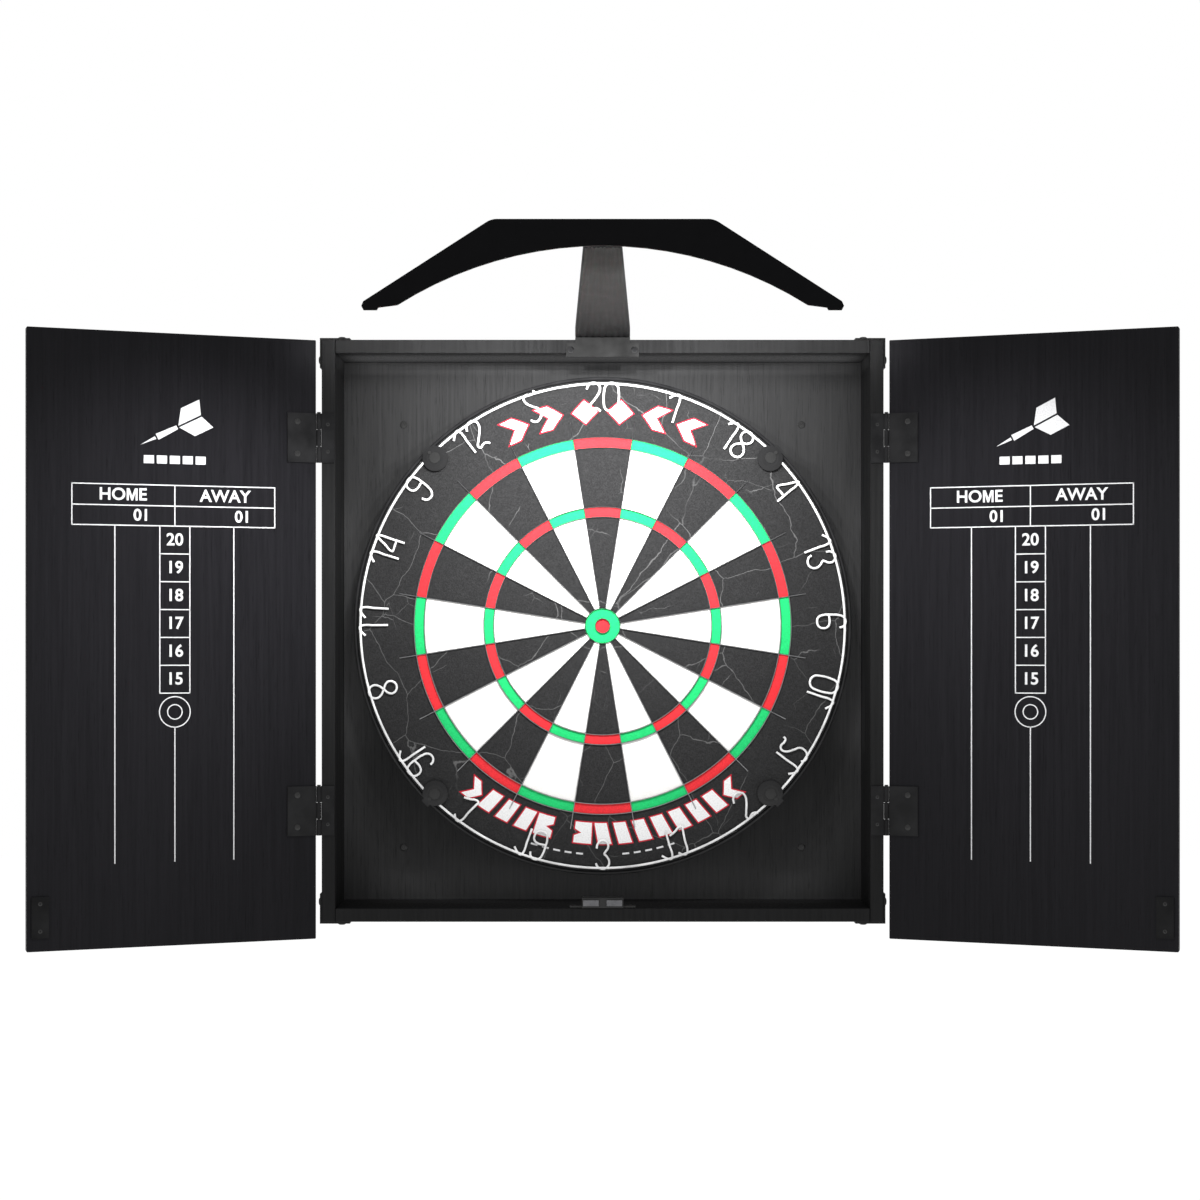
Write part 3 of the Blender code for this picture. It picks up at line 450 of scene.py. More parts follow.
def sisal_beds():
    """The playing face, one patch of faces to each bed, rounded over into the rim."""
    names = list(BED_LOOKS)
    steps = SEGMENTS * STEPS_PER_SEGMENT
    radii = [INNER_BULL, OUTER_BULL - BULL_INSET, *TREBLE, *DOUBLE, SISAL_RADIUS - ROUND_OVER]
    rings = [(radius, BOARD_FACE) for radius in radii]
    for turn in (math.radians(30), math.radians(60), math.radians(90)):
        inset, drop = ROUND_OVER * (1 - math.sin(turn)), ROUND_OVER * (1 - math.cos(turn))
        rings.append((SISAL_RADIUS - inset, BOARD_FACE - drop))
    rings.append((SISAL_RADIUS, SISAL_REAR))
    shape = bmesh.new()
    start = math.radians(90 + 180 / SEGMENTS)
    turns = [start - math.tau * i / steps for i in range(steps)]
    rows = [[shape.verts.new(board_point(radius, turn, depth)) for turn in turns] for radius, depth in rings]
    front = shape.verts.new(board_point(0, 0, BOARD_FACE))
    rear = shape.verts.new(board_point(0, 0, SISAL_REAR))
    for i in range(steps):
        j = (i + 1) % steps
        segment = i // STEPS_PER_SEGMENT
        face = shape.faces.new((front, rows[0][j], rows[0][i]))
        face.material_index = names.index(bed_colour(0, segment))
        for ring in range(len(rows) - 1):
            face = shape.faces.new((rows[ring][i], rows[ring][j], rows[ring + 1][j], rows[ring + 1][i]))
            face.material_index = names.index(bed_colour(min(ring + 1, 6), segment))
        shape.faces.new((rear, rows[-1][i], rows[-1][j]))
    bmesh.ops.recalc_face_normals(shape, faces=shape.faces)
    beds = piece("sisal_beds", mesh_of(shape, "sisal_beds", 50), "board", BED_LOOKS.values())
    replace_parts(beds, "sisal_face")


def rim():
    """The black band round the board, with a rolled front edge."""
    inner = SISAL_RADIUS + 0.0003
    lip = (RIM_RADIUS - inner) / 2
    front = -RIM_LOW.y
    profile = [(inner, -RIM_HIGH.y), (RIM_RADIUS, -RIM_HIGH.y)]
    profile += arc((inner + lip, front - lip), lip, 0, 180, 8)
    band = mesh_of(lathe(profile, 180), "rim_band_fine")
    at = Matrix.Translation(BOARD_CENTRE) @ TO_FRONT
    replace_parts(piece("rim_band_fine", band, "board", [LOOKS["rim_steel"]], at), "rim_band")


def blade_section(radius):
    """The section of a ring of blade wire, wider at the board than at its edge."""
    base = BOARD_FACE
    return [
        (radius - BLADE_HALF, base),
        (radius + BLADE_HALF, base),
        (radius + BLADE_EDGE, base + BLADE_HEIGHT),
        (radius - BLADE_EDGE, base + BLADE_HEIGHT),
    ]


def spider():
    """Thin blade wires: four rings and twenty spokes that end in a point out past the doubles."""
    whole = bmesh.new()
    for radius in (*TREBLE, *DOUBLE):
        ring = mesh_of(lathe(blade_section(radius), 240), "ring")
        whole.from_mesh(ring)
    start, tapers = OUTER_BULL + 0.0008, DOUBLE[1] + 0.004
    stations = [(start, 1.0), (tapers, 1.0), (WIRE_REACH - 0.0015, 0.8), (WIRE_REACH, 0.2)]
    for i in range(SEGMENTS):
        turn = Matrix.Rotation(math.tau * (i + 0.5) / SEGMENTS, 4, "Z")
        rows = []
        for x, share in stations:
            low, high = BOARD_FACE, BOARD_FACE + BLADE_HEIGHT * share * SPOKE_SHARE
            section = [(-BLADE_HALF, low), (BLADE_HALF, low), (BLADE_EDGE, high), (-BLADE_EDGE, high)]
            rows.append([whole.verts.new(turn @ Vector((x, y, h))) for y, h in section])
        for first, second in zip(rows, rows[1:]):
            for j in range(4):
                k = (j + 1) % 4
                whole.faces.new((first[j], first[k], second[k], second[j]))
        whole.faces.new(rows[0])
        whole.faces.new(rows[-1])
    bmesh.ops.recalc_face_normals(whole, faces=whole.faces)
    at = Matrix.Translation(BOARD_CENTRE) @ TO_FRONT
    mesh = mesh_of(whole, "spider_wires")
    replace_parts(piece("spider_wires", mesh, "board", [LOOKS["blade_wire"]], at), "spider")


# Bent-wire digits: the points each wire passes through, in a box half as wide as it is high.
DIGITS = {
    0: arc((0.25, 0.75), 0.25, 0, 180, 6) + arc((0.25, 0.25), 0.25, 180, 360, 6),
    1: [(0.42, 0), (0.42, 0.5), (0.42, 0.9), (0.37, 0.99), (0.26, 0.97), (0.06, 0.80)],
    2: [(0, 0.78), (0.08, 0.93), (0.25, 1), (0.43, 0.92), (0.47, 0.77), (0.39, 0.58), (0.14, 0.27)]
    + [(0.04, 0.12), (0.10, 0.04), (0.21, 0.09), (0.33, 0.10), (0.46, 0.0)],
    3: [(0.04, 0.72), (0.08, 0.88), (0.25, 1), (0.42, 0.9), (0.44, 0.74), (0.35, 0.60), (0.31, 0.53)]
    + [(0.40, 0.43), (0.48, 0.25), (0.42, 0.07), (0.25, 0), (0.08, 0.07), (0.01, 0.20)],
    4: [(0.44, 0), (0.41, 0.5), (0.38, 0.93), (0.34, 1.0), (0.29, 0.93), (0.14, 0.6)]
    + [(0.02, 0.36), (0.03, 0.29), (0.10, 0.28), (0.25, 0.29), (0.42, 0.29)],
    5: [(0.44, 1.08), (0.41, 0.99), (0.30, 0.96), (0.12, 0.99), (0.02, 0.90), (0.06, 0.72)]
    + [(0.25, 0.54), (0.42, 0.40), (0.45, 0.22), (0.36, 0.06), (0.18, 0.0), (0.04, 0.10)],
    6: [(0.47, 0.78), (0.42, 0.92), (0.27, 1), (0.10, 0.93), (0.03, 0.75), (0.01, 0.45), (0.02, 0.20)]
    + [(0.10, 0.04), (0.26, 0), (0.42, 0.06), (0.48, 0.20), (0.44, 0.36), (0.32, 0.43), (0.03, 0.42)],
    7: [(-0.06, 0.80), (0.14, 0.87), (0.38, 0.98), (0.45, 0.95), (0.44, 0.85), (0.38, 0.45)]
    + [(0.35, 0.12), (0.28, 0.01), (0.18, 0.01), (0.02, 0.14)],
    8: [(0.25, 0.53), (0.08, 0.66), (0.03, 0.80), (0.10, 0.94), (0.25, 1), (0.40, 0.94)]
    + [(0.47, 0.80), (0.42, 0.66), (0.25, 0.53), (0.07, 0.37), (0.02, 0.20), (0.10, 0.05)]
    + [(0.25, 0), (0.40, 0.05), (0.48, 0.20), (0.43, 0.37)],
}
DIGITS[9] = [(0.49 - x, 1 - y) for x, y in DIGITS[6]]
CLOSED_DIGITS = (0, 8)
FEET_ON_RING = range(6, 15)  # places, counted from the 20, whose numerals have their heads to the bull


def bent_wire(points, closed):
    """A numeral's round wire, bent smoothly through its points."""
    curve = bpy.data.curves.new("wire", "CURVE")
    curve.dimensions = "3D"
    curve.bevel_depth = NUMERAL_WIRE
    curve.bevel_resolution = 3
    curve.resolution_u = 5
    curve.use_fill_caps = True
    spline = curve.splines.new("BEZIER")
    spline.bezier_points.add(len(points) - 1)
    for point, (x, y) in zip(spline.bezier_points, points):
        point.co = (x * NUMERAL_HEIGHT, y * NUMERAL_HEIGHT, 0)
        point.handle_left_type = point.handle_right_type = "AUTO"
    spline.use_cyclic_u = closed
    return curve


def wire_numerals():
    """(mesh, matrix) for every digit. The lower nine stand with their feet on the ring."""
    found = []
    for index, number in enumerate(NUMBERS):
        upright = index not in FEET_ON_RING
        digits = [int(d) for d in str(number)]
        if not upright:
            digits.reverse()
        middle = math.radians(90 - 360 * index / SEGMENTS)
        middle += NUMERAL_LIFT * math.cos(middle) + NUMERAL_STRAY.get(number, 0)
        for i, digit in enumerate(digits):
            angle = middle - (i - (len(digits) - 1) / 2) * NUMERAL_PITCH / RING_RADIUS
            at = Matrix.Rotation(angle - math.radians(90), 4, "Z") @ Matrix.Translation((0, RING_RADIUS, 0))
            points = DIGITS[digit]
            if upright:
                at = at @ Matrix.Translation((-NUMERAL_WIDTH / 2, NUMERAL_LAP - NUMERAL_HEIGHT, 0))
            else:
                at = at @ Matrix.Rotation(math.pi, 4, "Z")
                at = at @ Matrix.Translation((-NUMERAL_WIDTH / 2, -NUMERAL_LAP, 0))
                if digit == 1:
                    points = [(x, 1 - y) for x, y in points]
            found.append((evaluated(bent_wire(points, digit in CLOSED_DIGITS)), at))
    return found


def number_ring():
    """A hoop of round wire with the twenty wire numerals on it."""
    section = arc((RING_RADIUS, 0), RING_WIRE, 0, 324, 9)
    parts = [(mesh_of(lathe(section, 240), "ring"), Matrix.Identity(4)), *wire_numerals()]
    at = Matrix.Translation(BOARD_CENTRE) @ TO_FRONT @ Matrix.Translation((0, 0, RING_DEPTH))
    wire = merged("number_ring_wire", parts)
    look = [LOOKS["white_wire"]]
    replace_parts(piece("number_ring_wire", wire, "number_ring", look, at), "number_ring")


KNOB_PROFILE = [(0, 0), (0.0052, 0), (0.0050, 0.0005), (0.0040, 0.0009), (0, 0.0010)]  # radius, height
LUG_OUT, LUG_RADIUS, LUG_HEIGHT = 0.0065, 0.0016, 0.0008


def clip_knobs():
    """The raised knob and finger lug on each of the number ring's clips."""
    for place in ("upper_right", "upper_left", "lower_left", "lower_right"):
        low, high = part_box(f"ring_clip_{place}")
        x, z = (low.x + high.x) / 2, (low.z + high.z) / 2
        outward = math.atan2(z - BOARD_CENTRE.z, x)
        lug = flat_curve([arc((LUG_OUT, 0), LUG_RADIUS, 0, 330, 11)], LUG_HEIGHT)
        turn = Matrix.Rotation(outward, 4, "Z")
        parts = [(mesh_of(lathe(KNOB_PROFILE, 32), "knob"), Matrix.Identity(4))]
        parts.append((evaluated(lug), turn @ Matrix.Translation((0, 0, LUG_HEIGHT / 2))))
        at = Matrix.Translation((x, low.y, z)) @ TO_FRONT
        knob = merged(f"clip_knob_{place}", parts)
        piece(f"clip_knob_{place}", knob, "number_ring", [LOOKS["catch_plastic"]], at)


# --- Printing on the board ---
def grown(outline, by):
    """An anticlockwise outline moved outwards, its corners mitred."""
    found = []
    count = len(outline)
    for i in range(count):
        before, here, after = (Vector(outline[k % count]) for k in (i - 1, i, i + 1))
        first, second = (here - before).normalized(), (after - here).normalized()
        normals = [Vector((d.y, -d.x)) for d in (first, second)]
        middle = (normals[0] + normals[1]).normalized()
        found.append(tuple(here + middle * (by / max(0.45, middle.dot(normals[0])))))
    return found


def printed_shapes():
    """Plain geometric marks in a box 1 by 1, anticlockwise."""
    chevron = [(0, 0), (0.50, 0), (1, 0.5), (0.50, 1), (0, 1), (0.46, 0.5)]
    slab = [(0, 0), (0.74, 0), (1, 1), (0.26, 1)]
    notched = [(0, 0), (1, 0), (1, 0.34), (0.60, 0.5), (1, 0.66), (1, 1), (0, 1)]
    shapes = {"chevron": chevron, "slab": slab, "notched": notched}
    shapes["diamond"] = [(0.5, 0), (1, 0.5), (0.5, 1), (0, 0.5)]
    shapes["dash"] = [(0, 0), (1, 0), (1, 1), (0, 1)]
    for name in ("chevron", "slab", "notched"):
        shapes[name + "_back"] = [(1 - x, y) for x, y in reversed(shapes[name])]
    return shapes


def on_arc(outline, middle, width, inner, outer, flip):
    """Bends an outline in a unit box onto an arc of the board. A flipped one stands with its head inwards."""
    steps = 4
    dense = []
    for i, here in enumerate(outline):
        after = outline[(i + 1) % len(outline)]
        dense += [tuple(Vector(here).lerp(Vector(after), s / steps)) for s in range(steps)]
    found = []
    for x, y in dense:
        if flip:
            angle, radius = middle + (x - 0.5) * width, outer + (inner - outer) * y
        else:
            angle, radius = middle - (x - 0.5) * width, inner + (outer - inner) * y
        found.append((radius * math.cos(angle), radius * math.sin(angle)))
    return found


TOP_MARKS = ["chevron", "chevron", "diamond", "diamond", "chevron_back", "chevron_back"]
LOW_MARKS = ["chevron", *["slab"] * 3, "notched", None, "notched_back", *["slab_back"] * 7, "chevron_back"]
MARK_ROWS = (  # marks, middle and spread in degrees, width in radians, inner and outer radius, flipped
    (TOP_MARKS, 90, 47.5, 0.118, 0.1835, 0.2045, False),
    (LOW_MARKS, 270, 76, 0.082, 0.1785, 0.1975, True),
)
MARK_EDGE = 0.0011
DASH_PLACES = (-6, -5, -4, -3, -2, 2, 3, 4, 5, 6)
DASH_PITCH = 2.9  # degrees
DASH_WIDTH = 0.030  # radians
DASH_BAND = (0.2062, 0.2078)
PRINT_ON_BOARD = 0.00004  # thickness


def board_print():
    """A row of plain marks above and below the doubles, white on a red edge, and small dashes below."""
    shapes = printed_shapes()
    white, red = [], []
    for names, middle, spread, width, inner, outer, flip in MARK_ROWS:
        step = math.radians(spread) / (len(names) - 1)
        for i, name in enumerate(names):
            if not name:
                continue
            along = (i - (len(names) - 1) / 2) * step
            angle = math.radians(middle) + (along if flip else -along)
            outline = on_arc(shapes[name], angle, width, inner, outer, flip)
            if sum(a[0] * b[1] - b[0] * a[1] for a, b in zip(outline, outline[1:] + outline[:1])) < 0:
                outline.reverse()
            white.append(outline)
            red.append(grown(outline, MARK_EDGE))
    dashes = []
    for i in DASH_PLACES:
        angle = math.radians(270 + i * DASH_PITCH)
        dashes.append(on_arc(shapes["dash"], angle, DASH_WIDTH, *DASH_BAND, True))
    layers = (
        ("board_print_red", red, RED_INK, 0.00002),
        ("board_print_white", white, WHITE_INK, 0.00006),
        ("board_print_dashes", dashes, DOOR_INK, 0.00002),
    )
    for name, outlines, look, lift in layers:
        parts = [(evaluated(flat_curve([o], PRINT_ON_BOARD)), Matrix.Identity(4)) for o in outlines]
        at = Matrix.Translation(BOARD_CENTRE) @ TO_FRONT
        at = at @ Matrix.Translation((0, 0, BOARD_FACE + lift + PRINT_ON_BOARD / 2))
        piece(name, merged(name, parts), "board", [look], at)


# --- Printing on the doors ---
DOOR_FACE_OFF = 0.00175  # from the hinge axis to a door's inner face
TABLE_MIDDLE = 0.1272  # from the hinge axis to the middle of the scoreboard
TABLE_HALF = 0.0878
TABLE_ROWS = (0.1267, 0.1086, 0.0912)  # heights of the level lines
CELL = 0.0243
CELLS = 6
LADDER_HALF = 0.0130
COLUMN_X = 0.0515
COLUMN_END = -0.2013
LINE = 0.00095
BULL_CIRCLES = (0.0133, 0.0063)
BULL_DROP = 0.0164  # from the ladder's foot to the bull's middle
PRINT_HEIGHT = 0.00005
PRINT_LIFT = 0.00003
CAPITALS = 0.0108
FIGURES = 0.0104
CAPITAL_M = 0.0106
WORD_X = 0.044
FIGURES_END = 0.0225  # from the middle of a word to the end of the figures under it


def rectangle(left, bottom, right, top):
    return [(left, bottom), (right, bottom), (right, top), (left, top)]


def stroke_box(x0, z0, x1, z1):
    """A printed line from one point to another, level or upright."""
    half = LINE / 2
    return rectangle(x0 - half, z0 - half, x1 + half, z1 + half)


def circle_band(centre, radius, width):
    """The outer and inner outlines of a printed circle."""
    return [arc(centre, radius + width / 2, 0, 354, 59), arc(centre, radius - width / 2, 0, 354, 59)]


def words(text, height, align):
    """Printed lettering whose capitals are height high."""
    made = bpy.data.curves.new("words", "FONT")
    made.body = text
    made.size = height / 0.73
    made.align_x = align
    made.align_y = "CENTER"
    made.offset = 0.0003
    made.extrude = PRINT_HEIGHT / 2
    made.resolution_u = 4
    return made


def capital_m(height):
    """The outline of a bold M, which the font's own M can't take: it fills in when thickened."""
    wide, stem, foot, valley = 0.88, 0.165, 0.07, 0.38
    half = [(0, 0), (stem, 0), (stem, 0.66), (wide / 2 - foot, 0)]
    upper = [(wide / 2, valley), (stem + 0.06, 1), (0, 1)]
    outline = half + [(wide - x, y) for x, y in reversed(upper[1:] + half)] + upper
    return [(x * height, (y - 0.5) * height) for x, y in outline]


def scoreboard_lines():
    """Outlines of the table, the ladder under it, the two columns and the line under the bull."""
    top, _, bottom = TABLE_ROWS
    foot = bottom - CELLS * CELL
    lines = [stroke_box(-TABLE_HALF, z, TABLE_HALF, z) for z in TABLE_ROWS]
    lines += [stroke_box(x, bottom, x, top) for x in (-TABLE_HALF, 0, TABLE_HALF)]
    rungs = [bottom - CELL * i for i in range(1, CELLS + 1)]
    lines += [stroke_box(-LADDER_HALF, z, LADDER_HALF, z) for z in rungs]
    lines += [stroke_box(x, foot, x, bottom) for x in (-LADDER_HALF, LADDER_HALF)]
    lines += [stroke_box(x, COLUMN_END, x, bottom) for x in (-COLUMN_X, COLUMN_X)]
    lines += [stroke_box(0, COLUMN_END, 0, foot - BULL_DROP - BULL_CIRCLES[0])]
    return lines


def scoreboard_labels():
    """(text, x, z, height, alignment) of the lettering, but for the M of HOME."""
    top, middle, bottom = TABLE_ROWS
    heading, figures = (top + middle) / 2, (middle + bottom) / 2
    labels = [("HO", -WORD_X + 0.0018, heading, CAPITALS, "RIGHT")]
    labels += [("E", -WORD_X + 0.0126, heading, CAPITALS, "LEFT")]
    labels += [("AWAY", WORD_X, heading, CAPITALS, "CENTER")]
    labels += [("01", x + FIGURES_END, figures, FIGURES, "RIGHT") for x in (-WORD_X, WORD_X)]
    labels += [(str(20 - i), 0, bottom - CELL * (i + 0.5), CAPITALS, "CENTER") for i in range(CELLS)]
    return labels


def scoreboard_parts():
    """(data, matrix) of the printed scoreboard, in x to the right and y up from the cabinet's mid height."""
    top, middle, bottom = TABLE_ROWS
    parts = [(flat_curve([line], PRINT_HEIGHT), Matrix.Identity(4)) for line in scoreboard_lines()]
    bull = (0, bottom - CELLS * CELL - BULL_DROP)
    for radius in BULL_CIRCLES:
        parts.append((flat_curve(circle_band(bull, radius, LINE), PRINT_HEIGHT), Matrix.Identity(4)))
    letter = flat_curve([capital_m(CAPITAL_M)], PRINT_HEIGHT)
    parts.append((letter, Matrix.Translation((-WORD_X + 0.0026, (top + middle) / 2 + 0.0004, 0))))
    for text, x, z, height, align in scoreboard_labels():
        parts.append((words(text, height, align), Matrix.Translation((x, z, 0))))
    return parts


DART_AT = (-0.002, 0.1755, 0)
DART_SLOPE = 27  # degrees
BAR_PITCH, BAR_HALF = 0.0112, 0.0044
BAR_BAND = (0.1455, 0.1525)


def emblem_parts():
    """A plain dart: barrel, point and swept flight, over a row of short bars."""
    turn = Matrix.Translation(DART_AT) @ Matrix.Rotation(math.radians(DART_SLOPE), 4, "Z")
    upper = [(0.006, 0.0008), (0.028, 0.0008), (0.033, 0.0135), (0.015, 0.0135)]
    lower = [(x, -y) for x, y in reversed(upper)]
    barrel = [(-0.015, -0.0028), (0.0045, -0.0018), (0.0045, 0.0018), (-0.015, 0.0028)]
    point = [(-0.031, 0), (-0.0165, -0.0013), (-0.0165, 0.0013)]
    parts = [(flat_curve([outline], PRINT_HEIGHT), turn) for outline in (upper, lower, barrel, point)]
    for i in range(5):
        x = (i - 2) * BAR_PITCH
        bar = rectangle(x - BAR_HALF, BAR_BAND[0], x + BAR_HALF, BAR_BAND[1])
        parts.append((flat_curve([bar], PRINT_HEIGHT), Matrix.Identity(4)))
    return parts


def door_turn(side):
    """Carries what is placed on a shut door, from its hinge axis, out to the open one."""
    return Matrix.Translation((HINGE[side].x, HINGE[side].y, 0)) @ Matrix.Rotation(side * OPEN_ANGLE, 4, "Z")


def door_frame(side):
    """Printing coordinates on a door's inner face at rest: x reads right, y up, z out of the face."""
    origin = Matrix.Translation((-side * TABLE_MIDDLE, -DOOR_FACE_OFF, 0))
    axes = Matrix(((-1, 0, 0, 0), (0, 0, 1, 0), (0, 1, 0, 0), (0, 0, 0, 1)))
    return door_turn(side) @ origin @ axes


def door_print(hand, side):
    at = door_frame(side) @ Matrix.Translation((0, 0, PRINT_HEIGHT / 2 + PRINT_LIFT))
    for name, parts in (("scoreboard", scoreboard_parts()), ("emblem", emblem_parts())):
        mesh = merged(f"{name}_{hand}", [(evaluated(data), matrix) for data, matrix in parts])
        piece(f"{name}_{hand}", mesh, f"door_{hand}", [DOOR_INK], at)


# --- Fasteners ---
SMALL_HEAD = (0.0026, 0.0007)  # radius, height
WIDE_HEAD = (0.0034, 0.0011)
CASE_LEAF_HEAD, STRIKE_HEAD = 0.72, 0.8  # sizes as shares of a small head
LEAF_SCREW_LIFT = 0.0143  # above and below a door leaf's middle
CASE_LEAF_SHARE = 0.85  # of that lift, for the case leaf's screws
DOOR_LEAF_SCREW = 0.017  # this and the next two are in from the case's side, with the doors shut
CASE_LEAF_SCREW = 0.00575
STRIKE_SCREW = 0.23925
STRIKE_SCREW_INSET = 0.006
CATCH_SCREW = (0.025, -0.0675, 0.0018)  # the height is above the catch's floor
WALL_SCREW_X = 0.184
WALL_SCREW_HEIGHTS = (("upper", 0.191), ("lower", -0.200))


def cross_head(radius, height):
    """A domed screw head with a cross recess, standing on z = 0."""
    profile = [(0, 0), (radius, 0), (radius, height * 0.3), (radius * 0.88, height * 0.68)]
    profile += [(radius * 0.6, height * 0.93), (0, height)]
    base = bpy.data.objects.new("head", mesh_of(lathe(profile, 24), "head"))
    bpy.context.scene.collection.objects.link(base)
    cutters = []
    for turn in (0, 90):
        shape = bmesh.new()
        bmesh.ops.create_cube(shape, size=1.0)
        spin = Matrix.Rotation(math.radians(turn + 17), 3, "Z")
        bmesh.ops.scale(shape, vec=(radius * 1.05, radius * 0.24, height), verts=shape.verts)
        bmesh.ops.rotate(shape, matrix=spin, verts=shape.verts)
        bmesh.ops.translate(shape, vec=(0, 0, height * 1.05), verts=shape.verts)
        cutter = bpy.data.objects.new("cut", mesh_of(shape, "cut"))
        bpy.context.scene.collection.objects.link(cutter)
        change = base.modifiers.new("cut", "BOOLEAN")
        change.operation = "DIFFERENCE"
        change.object = cutter
        cutters.append(cutter)
    mesh = evaluated(base)
    for cutter in cutters:
        bpy.data.objects.remove(cutter)
    mesh.shade_smooth()
    mesh.set_sharp_from_angle(angle=math.radians(40))
    return mesh


def head_of_size(head, share):
    made = head.copy()
    made.transform(Matrix.Scale(share, 4))
    return made


def screw(name, head, body, at):
    piece(name, head, body, [LOOKS["screw_steel"]], at)


def leaf_screws(hand, side, level, head):
    """Two screws in a hinge's door leaf and two in its case leaf."""
    axis_out = HINGE[1].x - CASE_SIDE
    low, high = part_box(f"hinge_door_leaf_{hand}_{level}")
    middle = (low.z + high.z) / 2
    for i, lift in enumerate((-LEAF_SCREW_LIFT, LEAF_SCREW_LIFT)):
        at = Matrix.Translation((-side * (axis_out + DOOR_LEAF_SCREW), -0.00025, middle + lift))
        at = door_turn(side) @ at @ facing((0, 1, 0))
        screw(f"hinge_door_screw_{hand}_{level}_{i}", head.copy(), f"door_{hand}", at)
        x, height = side * (CASE_SIDE - CASE_LEAF_SCREW), middle + lift * CASE_LEAF_SHARE
        at = Matrix.Translation((x, HINGE[1].y + 0.0006, height)) @ facing((0, -1, 0))
        tiny = head_of_size(head, CASE_LEAF_HEAD)
        screw(f"hinge_case_screw_{hand}_{level}_{i}", tiny, "case", at)


def screws():
    """The hinge, strike plate, catch and wall screws."""
    small, wide = cross_head(*SMALL_HEAD), cross_head(*WIDE_HEAD)
    axis_out = HINGE[1].x - CASE_SIDE
    for hand, side in SIDES:
        for level in ("upper", "lower"):
            leaf_screws(hand, side, level, small)
        low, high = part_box(f"strike_plate_{hand}")
        for i, z in enumerate((low.z + STRIKE_SCREW_INSET, high.z - STRIKE_SCREW_INSET)):
            at = Matrix.Translation((-side * (axis_out + STRIKE_SCREW), -0.00085, z))
            at = door_turn(side) @ at @ facing((0, 1, 0))
            tiny = head_of_size(small, STRIKE_HEAD)
            screw(f"strike_screw_{hand}_{i}", tiny, f"door_{hand}", at)
        x, y, lift = CATCH_SCREW
        at = Matrix.Translation((side * x, y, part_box("catch_housing")[0].z + lift)) @ facing((0, 0, 1))
        screw(f"catch_screw_{hand}", small.copy(), "case", at)
        for level, z in WALL_SCREW_HEIGHTS:
            at = Matrix.Translation((side * WALL_SCREW_X, -BACK_SHEET, z)) @ facing((0, -1, 0))
            screw(f"wall_screw_{level}_{hand}", wide.copy(), "case", at)


# --- Lamp ---
ARCH_CENTRE_Z = -0.0016
ARCH_RADIUS = 0.2904
ARCH_TUCK = 0.0003  # from the arch up to the front of what is behind it
ARCH_RISE = 0.186  # what is behind the arch rises so much for each metre back, clear of the camera's view
CHANNEL_END = 0.142  # beyond this the channel's corners rise straight up instead
CHANNEL_RISE = 0.21
HEAD_TOP = 0.30  # the head's corners above this are rounded
HEAD_ROUNDING = 0.004


def copied(name):
    """A welded bmesh of a frame node, in world coordinates."""
    shape = bmesh.new()
    shape.from_mesh(frame["nodes"][name].data)
    bmesh.ops.remove_doubles(shape, verts=shape.verts, dist=WELD)
    bmesh.ops.dissolve_limit(shape, angle_limit=math.radians(0.5), verts=shape.verts, edges=shape.edges)
    bmesh.ops.transform(shape, matrix=frame["nodes"][name].matrix_world, verts=shape.verts)
    return shape


def lamp_head():
    """The head plate with rounded top corners, and the channel and diffuser tucked up behind its arch."""
    shape = copied("light_head_plate")
    across = []
    for edge in shape.edges:
        along = (edge.verts[0].co - edge.verts[1].co).normalized()
        is_corner = edge.calc_face_angle(0) > math.radians(15)
        if is_corner and abs(along.y) > 0.99 and edge.verts[0].co.z > HEAD_TOP:
            across.append(edge)
    bmesh.ops.bevel(shape, geom=across, offset=HEAD_ROUNDING, segments=5, profile=0.5, affect="EDGES")
    plate = mesh_of(shape, "lamp_head")
    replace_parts(piece("lamp_head", plate, "case", [LOOKS["lamp_black"]]), "light_head_plate")
    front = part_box("light_head_plate")[0].y
    tucked = (
        ("lamp_channel", "light_led_channel", "lamp_channel"),
        ("lamp_diffuser", "light_diffuser", "diffuser"),
    )
    for name, node, slot in tucked:
        shape = copied(node)
        for corner in shape.verts:
            behind = corner.co.y - front
            spoke = Vector((corner.co.x, corner.co.z - ARCH_CENTRE_Z))
            least = ARCH_RADIUS + ARCH_TUCK + ARCH_RISE * behind
            if abs(corner.co.x) > CHANNEL_END and slot == "lamp_channel":
                corner.co.z += CHANNEL_RISE * behind
            elif spoke.length < least:
                spoke *= least / spoke.length
                corner.co.x, corner.co.z = spoke.x, spoke.y + ARCH_CENTRE_Z
        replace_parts(piece(name, mesh_of(shape, name), "case", [LOOKS[slot]]), node)


ARM_TIP_HALF = 0.0145
ARM_RISE = 0.0286  # from the case's front to the tip
ARM_CORNER = 0.0018
ARM_RIBS = 8
RIB_DEPTH = 0.0004


def ribbed_floor():
    """(share of the half width, height) of a wavy floor with six points to each rib."""
    count = ARM_RIBS * 6
    return [(-1 + 2 * i / count, RIB_DEPTH * (1 - math.cos(math.tau * i / 6))) for i in range(count + 1)]


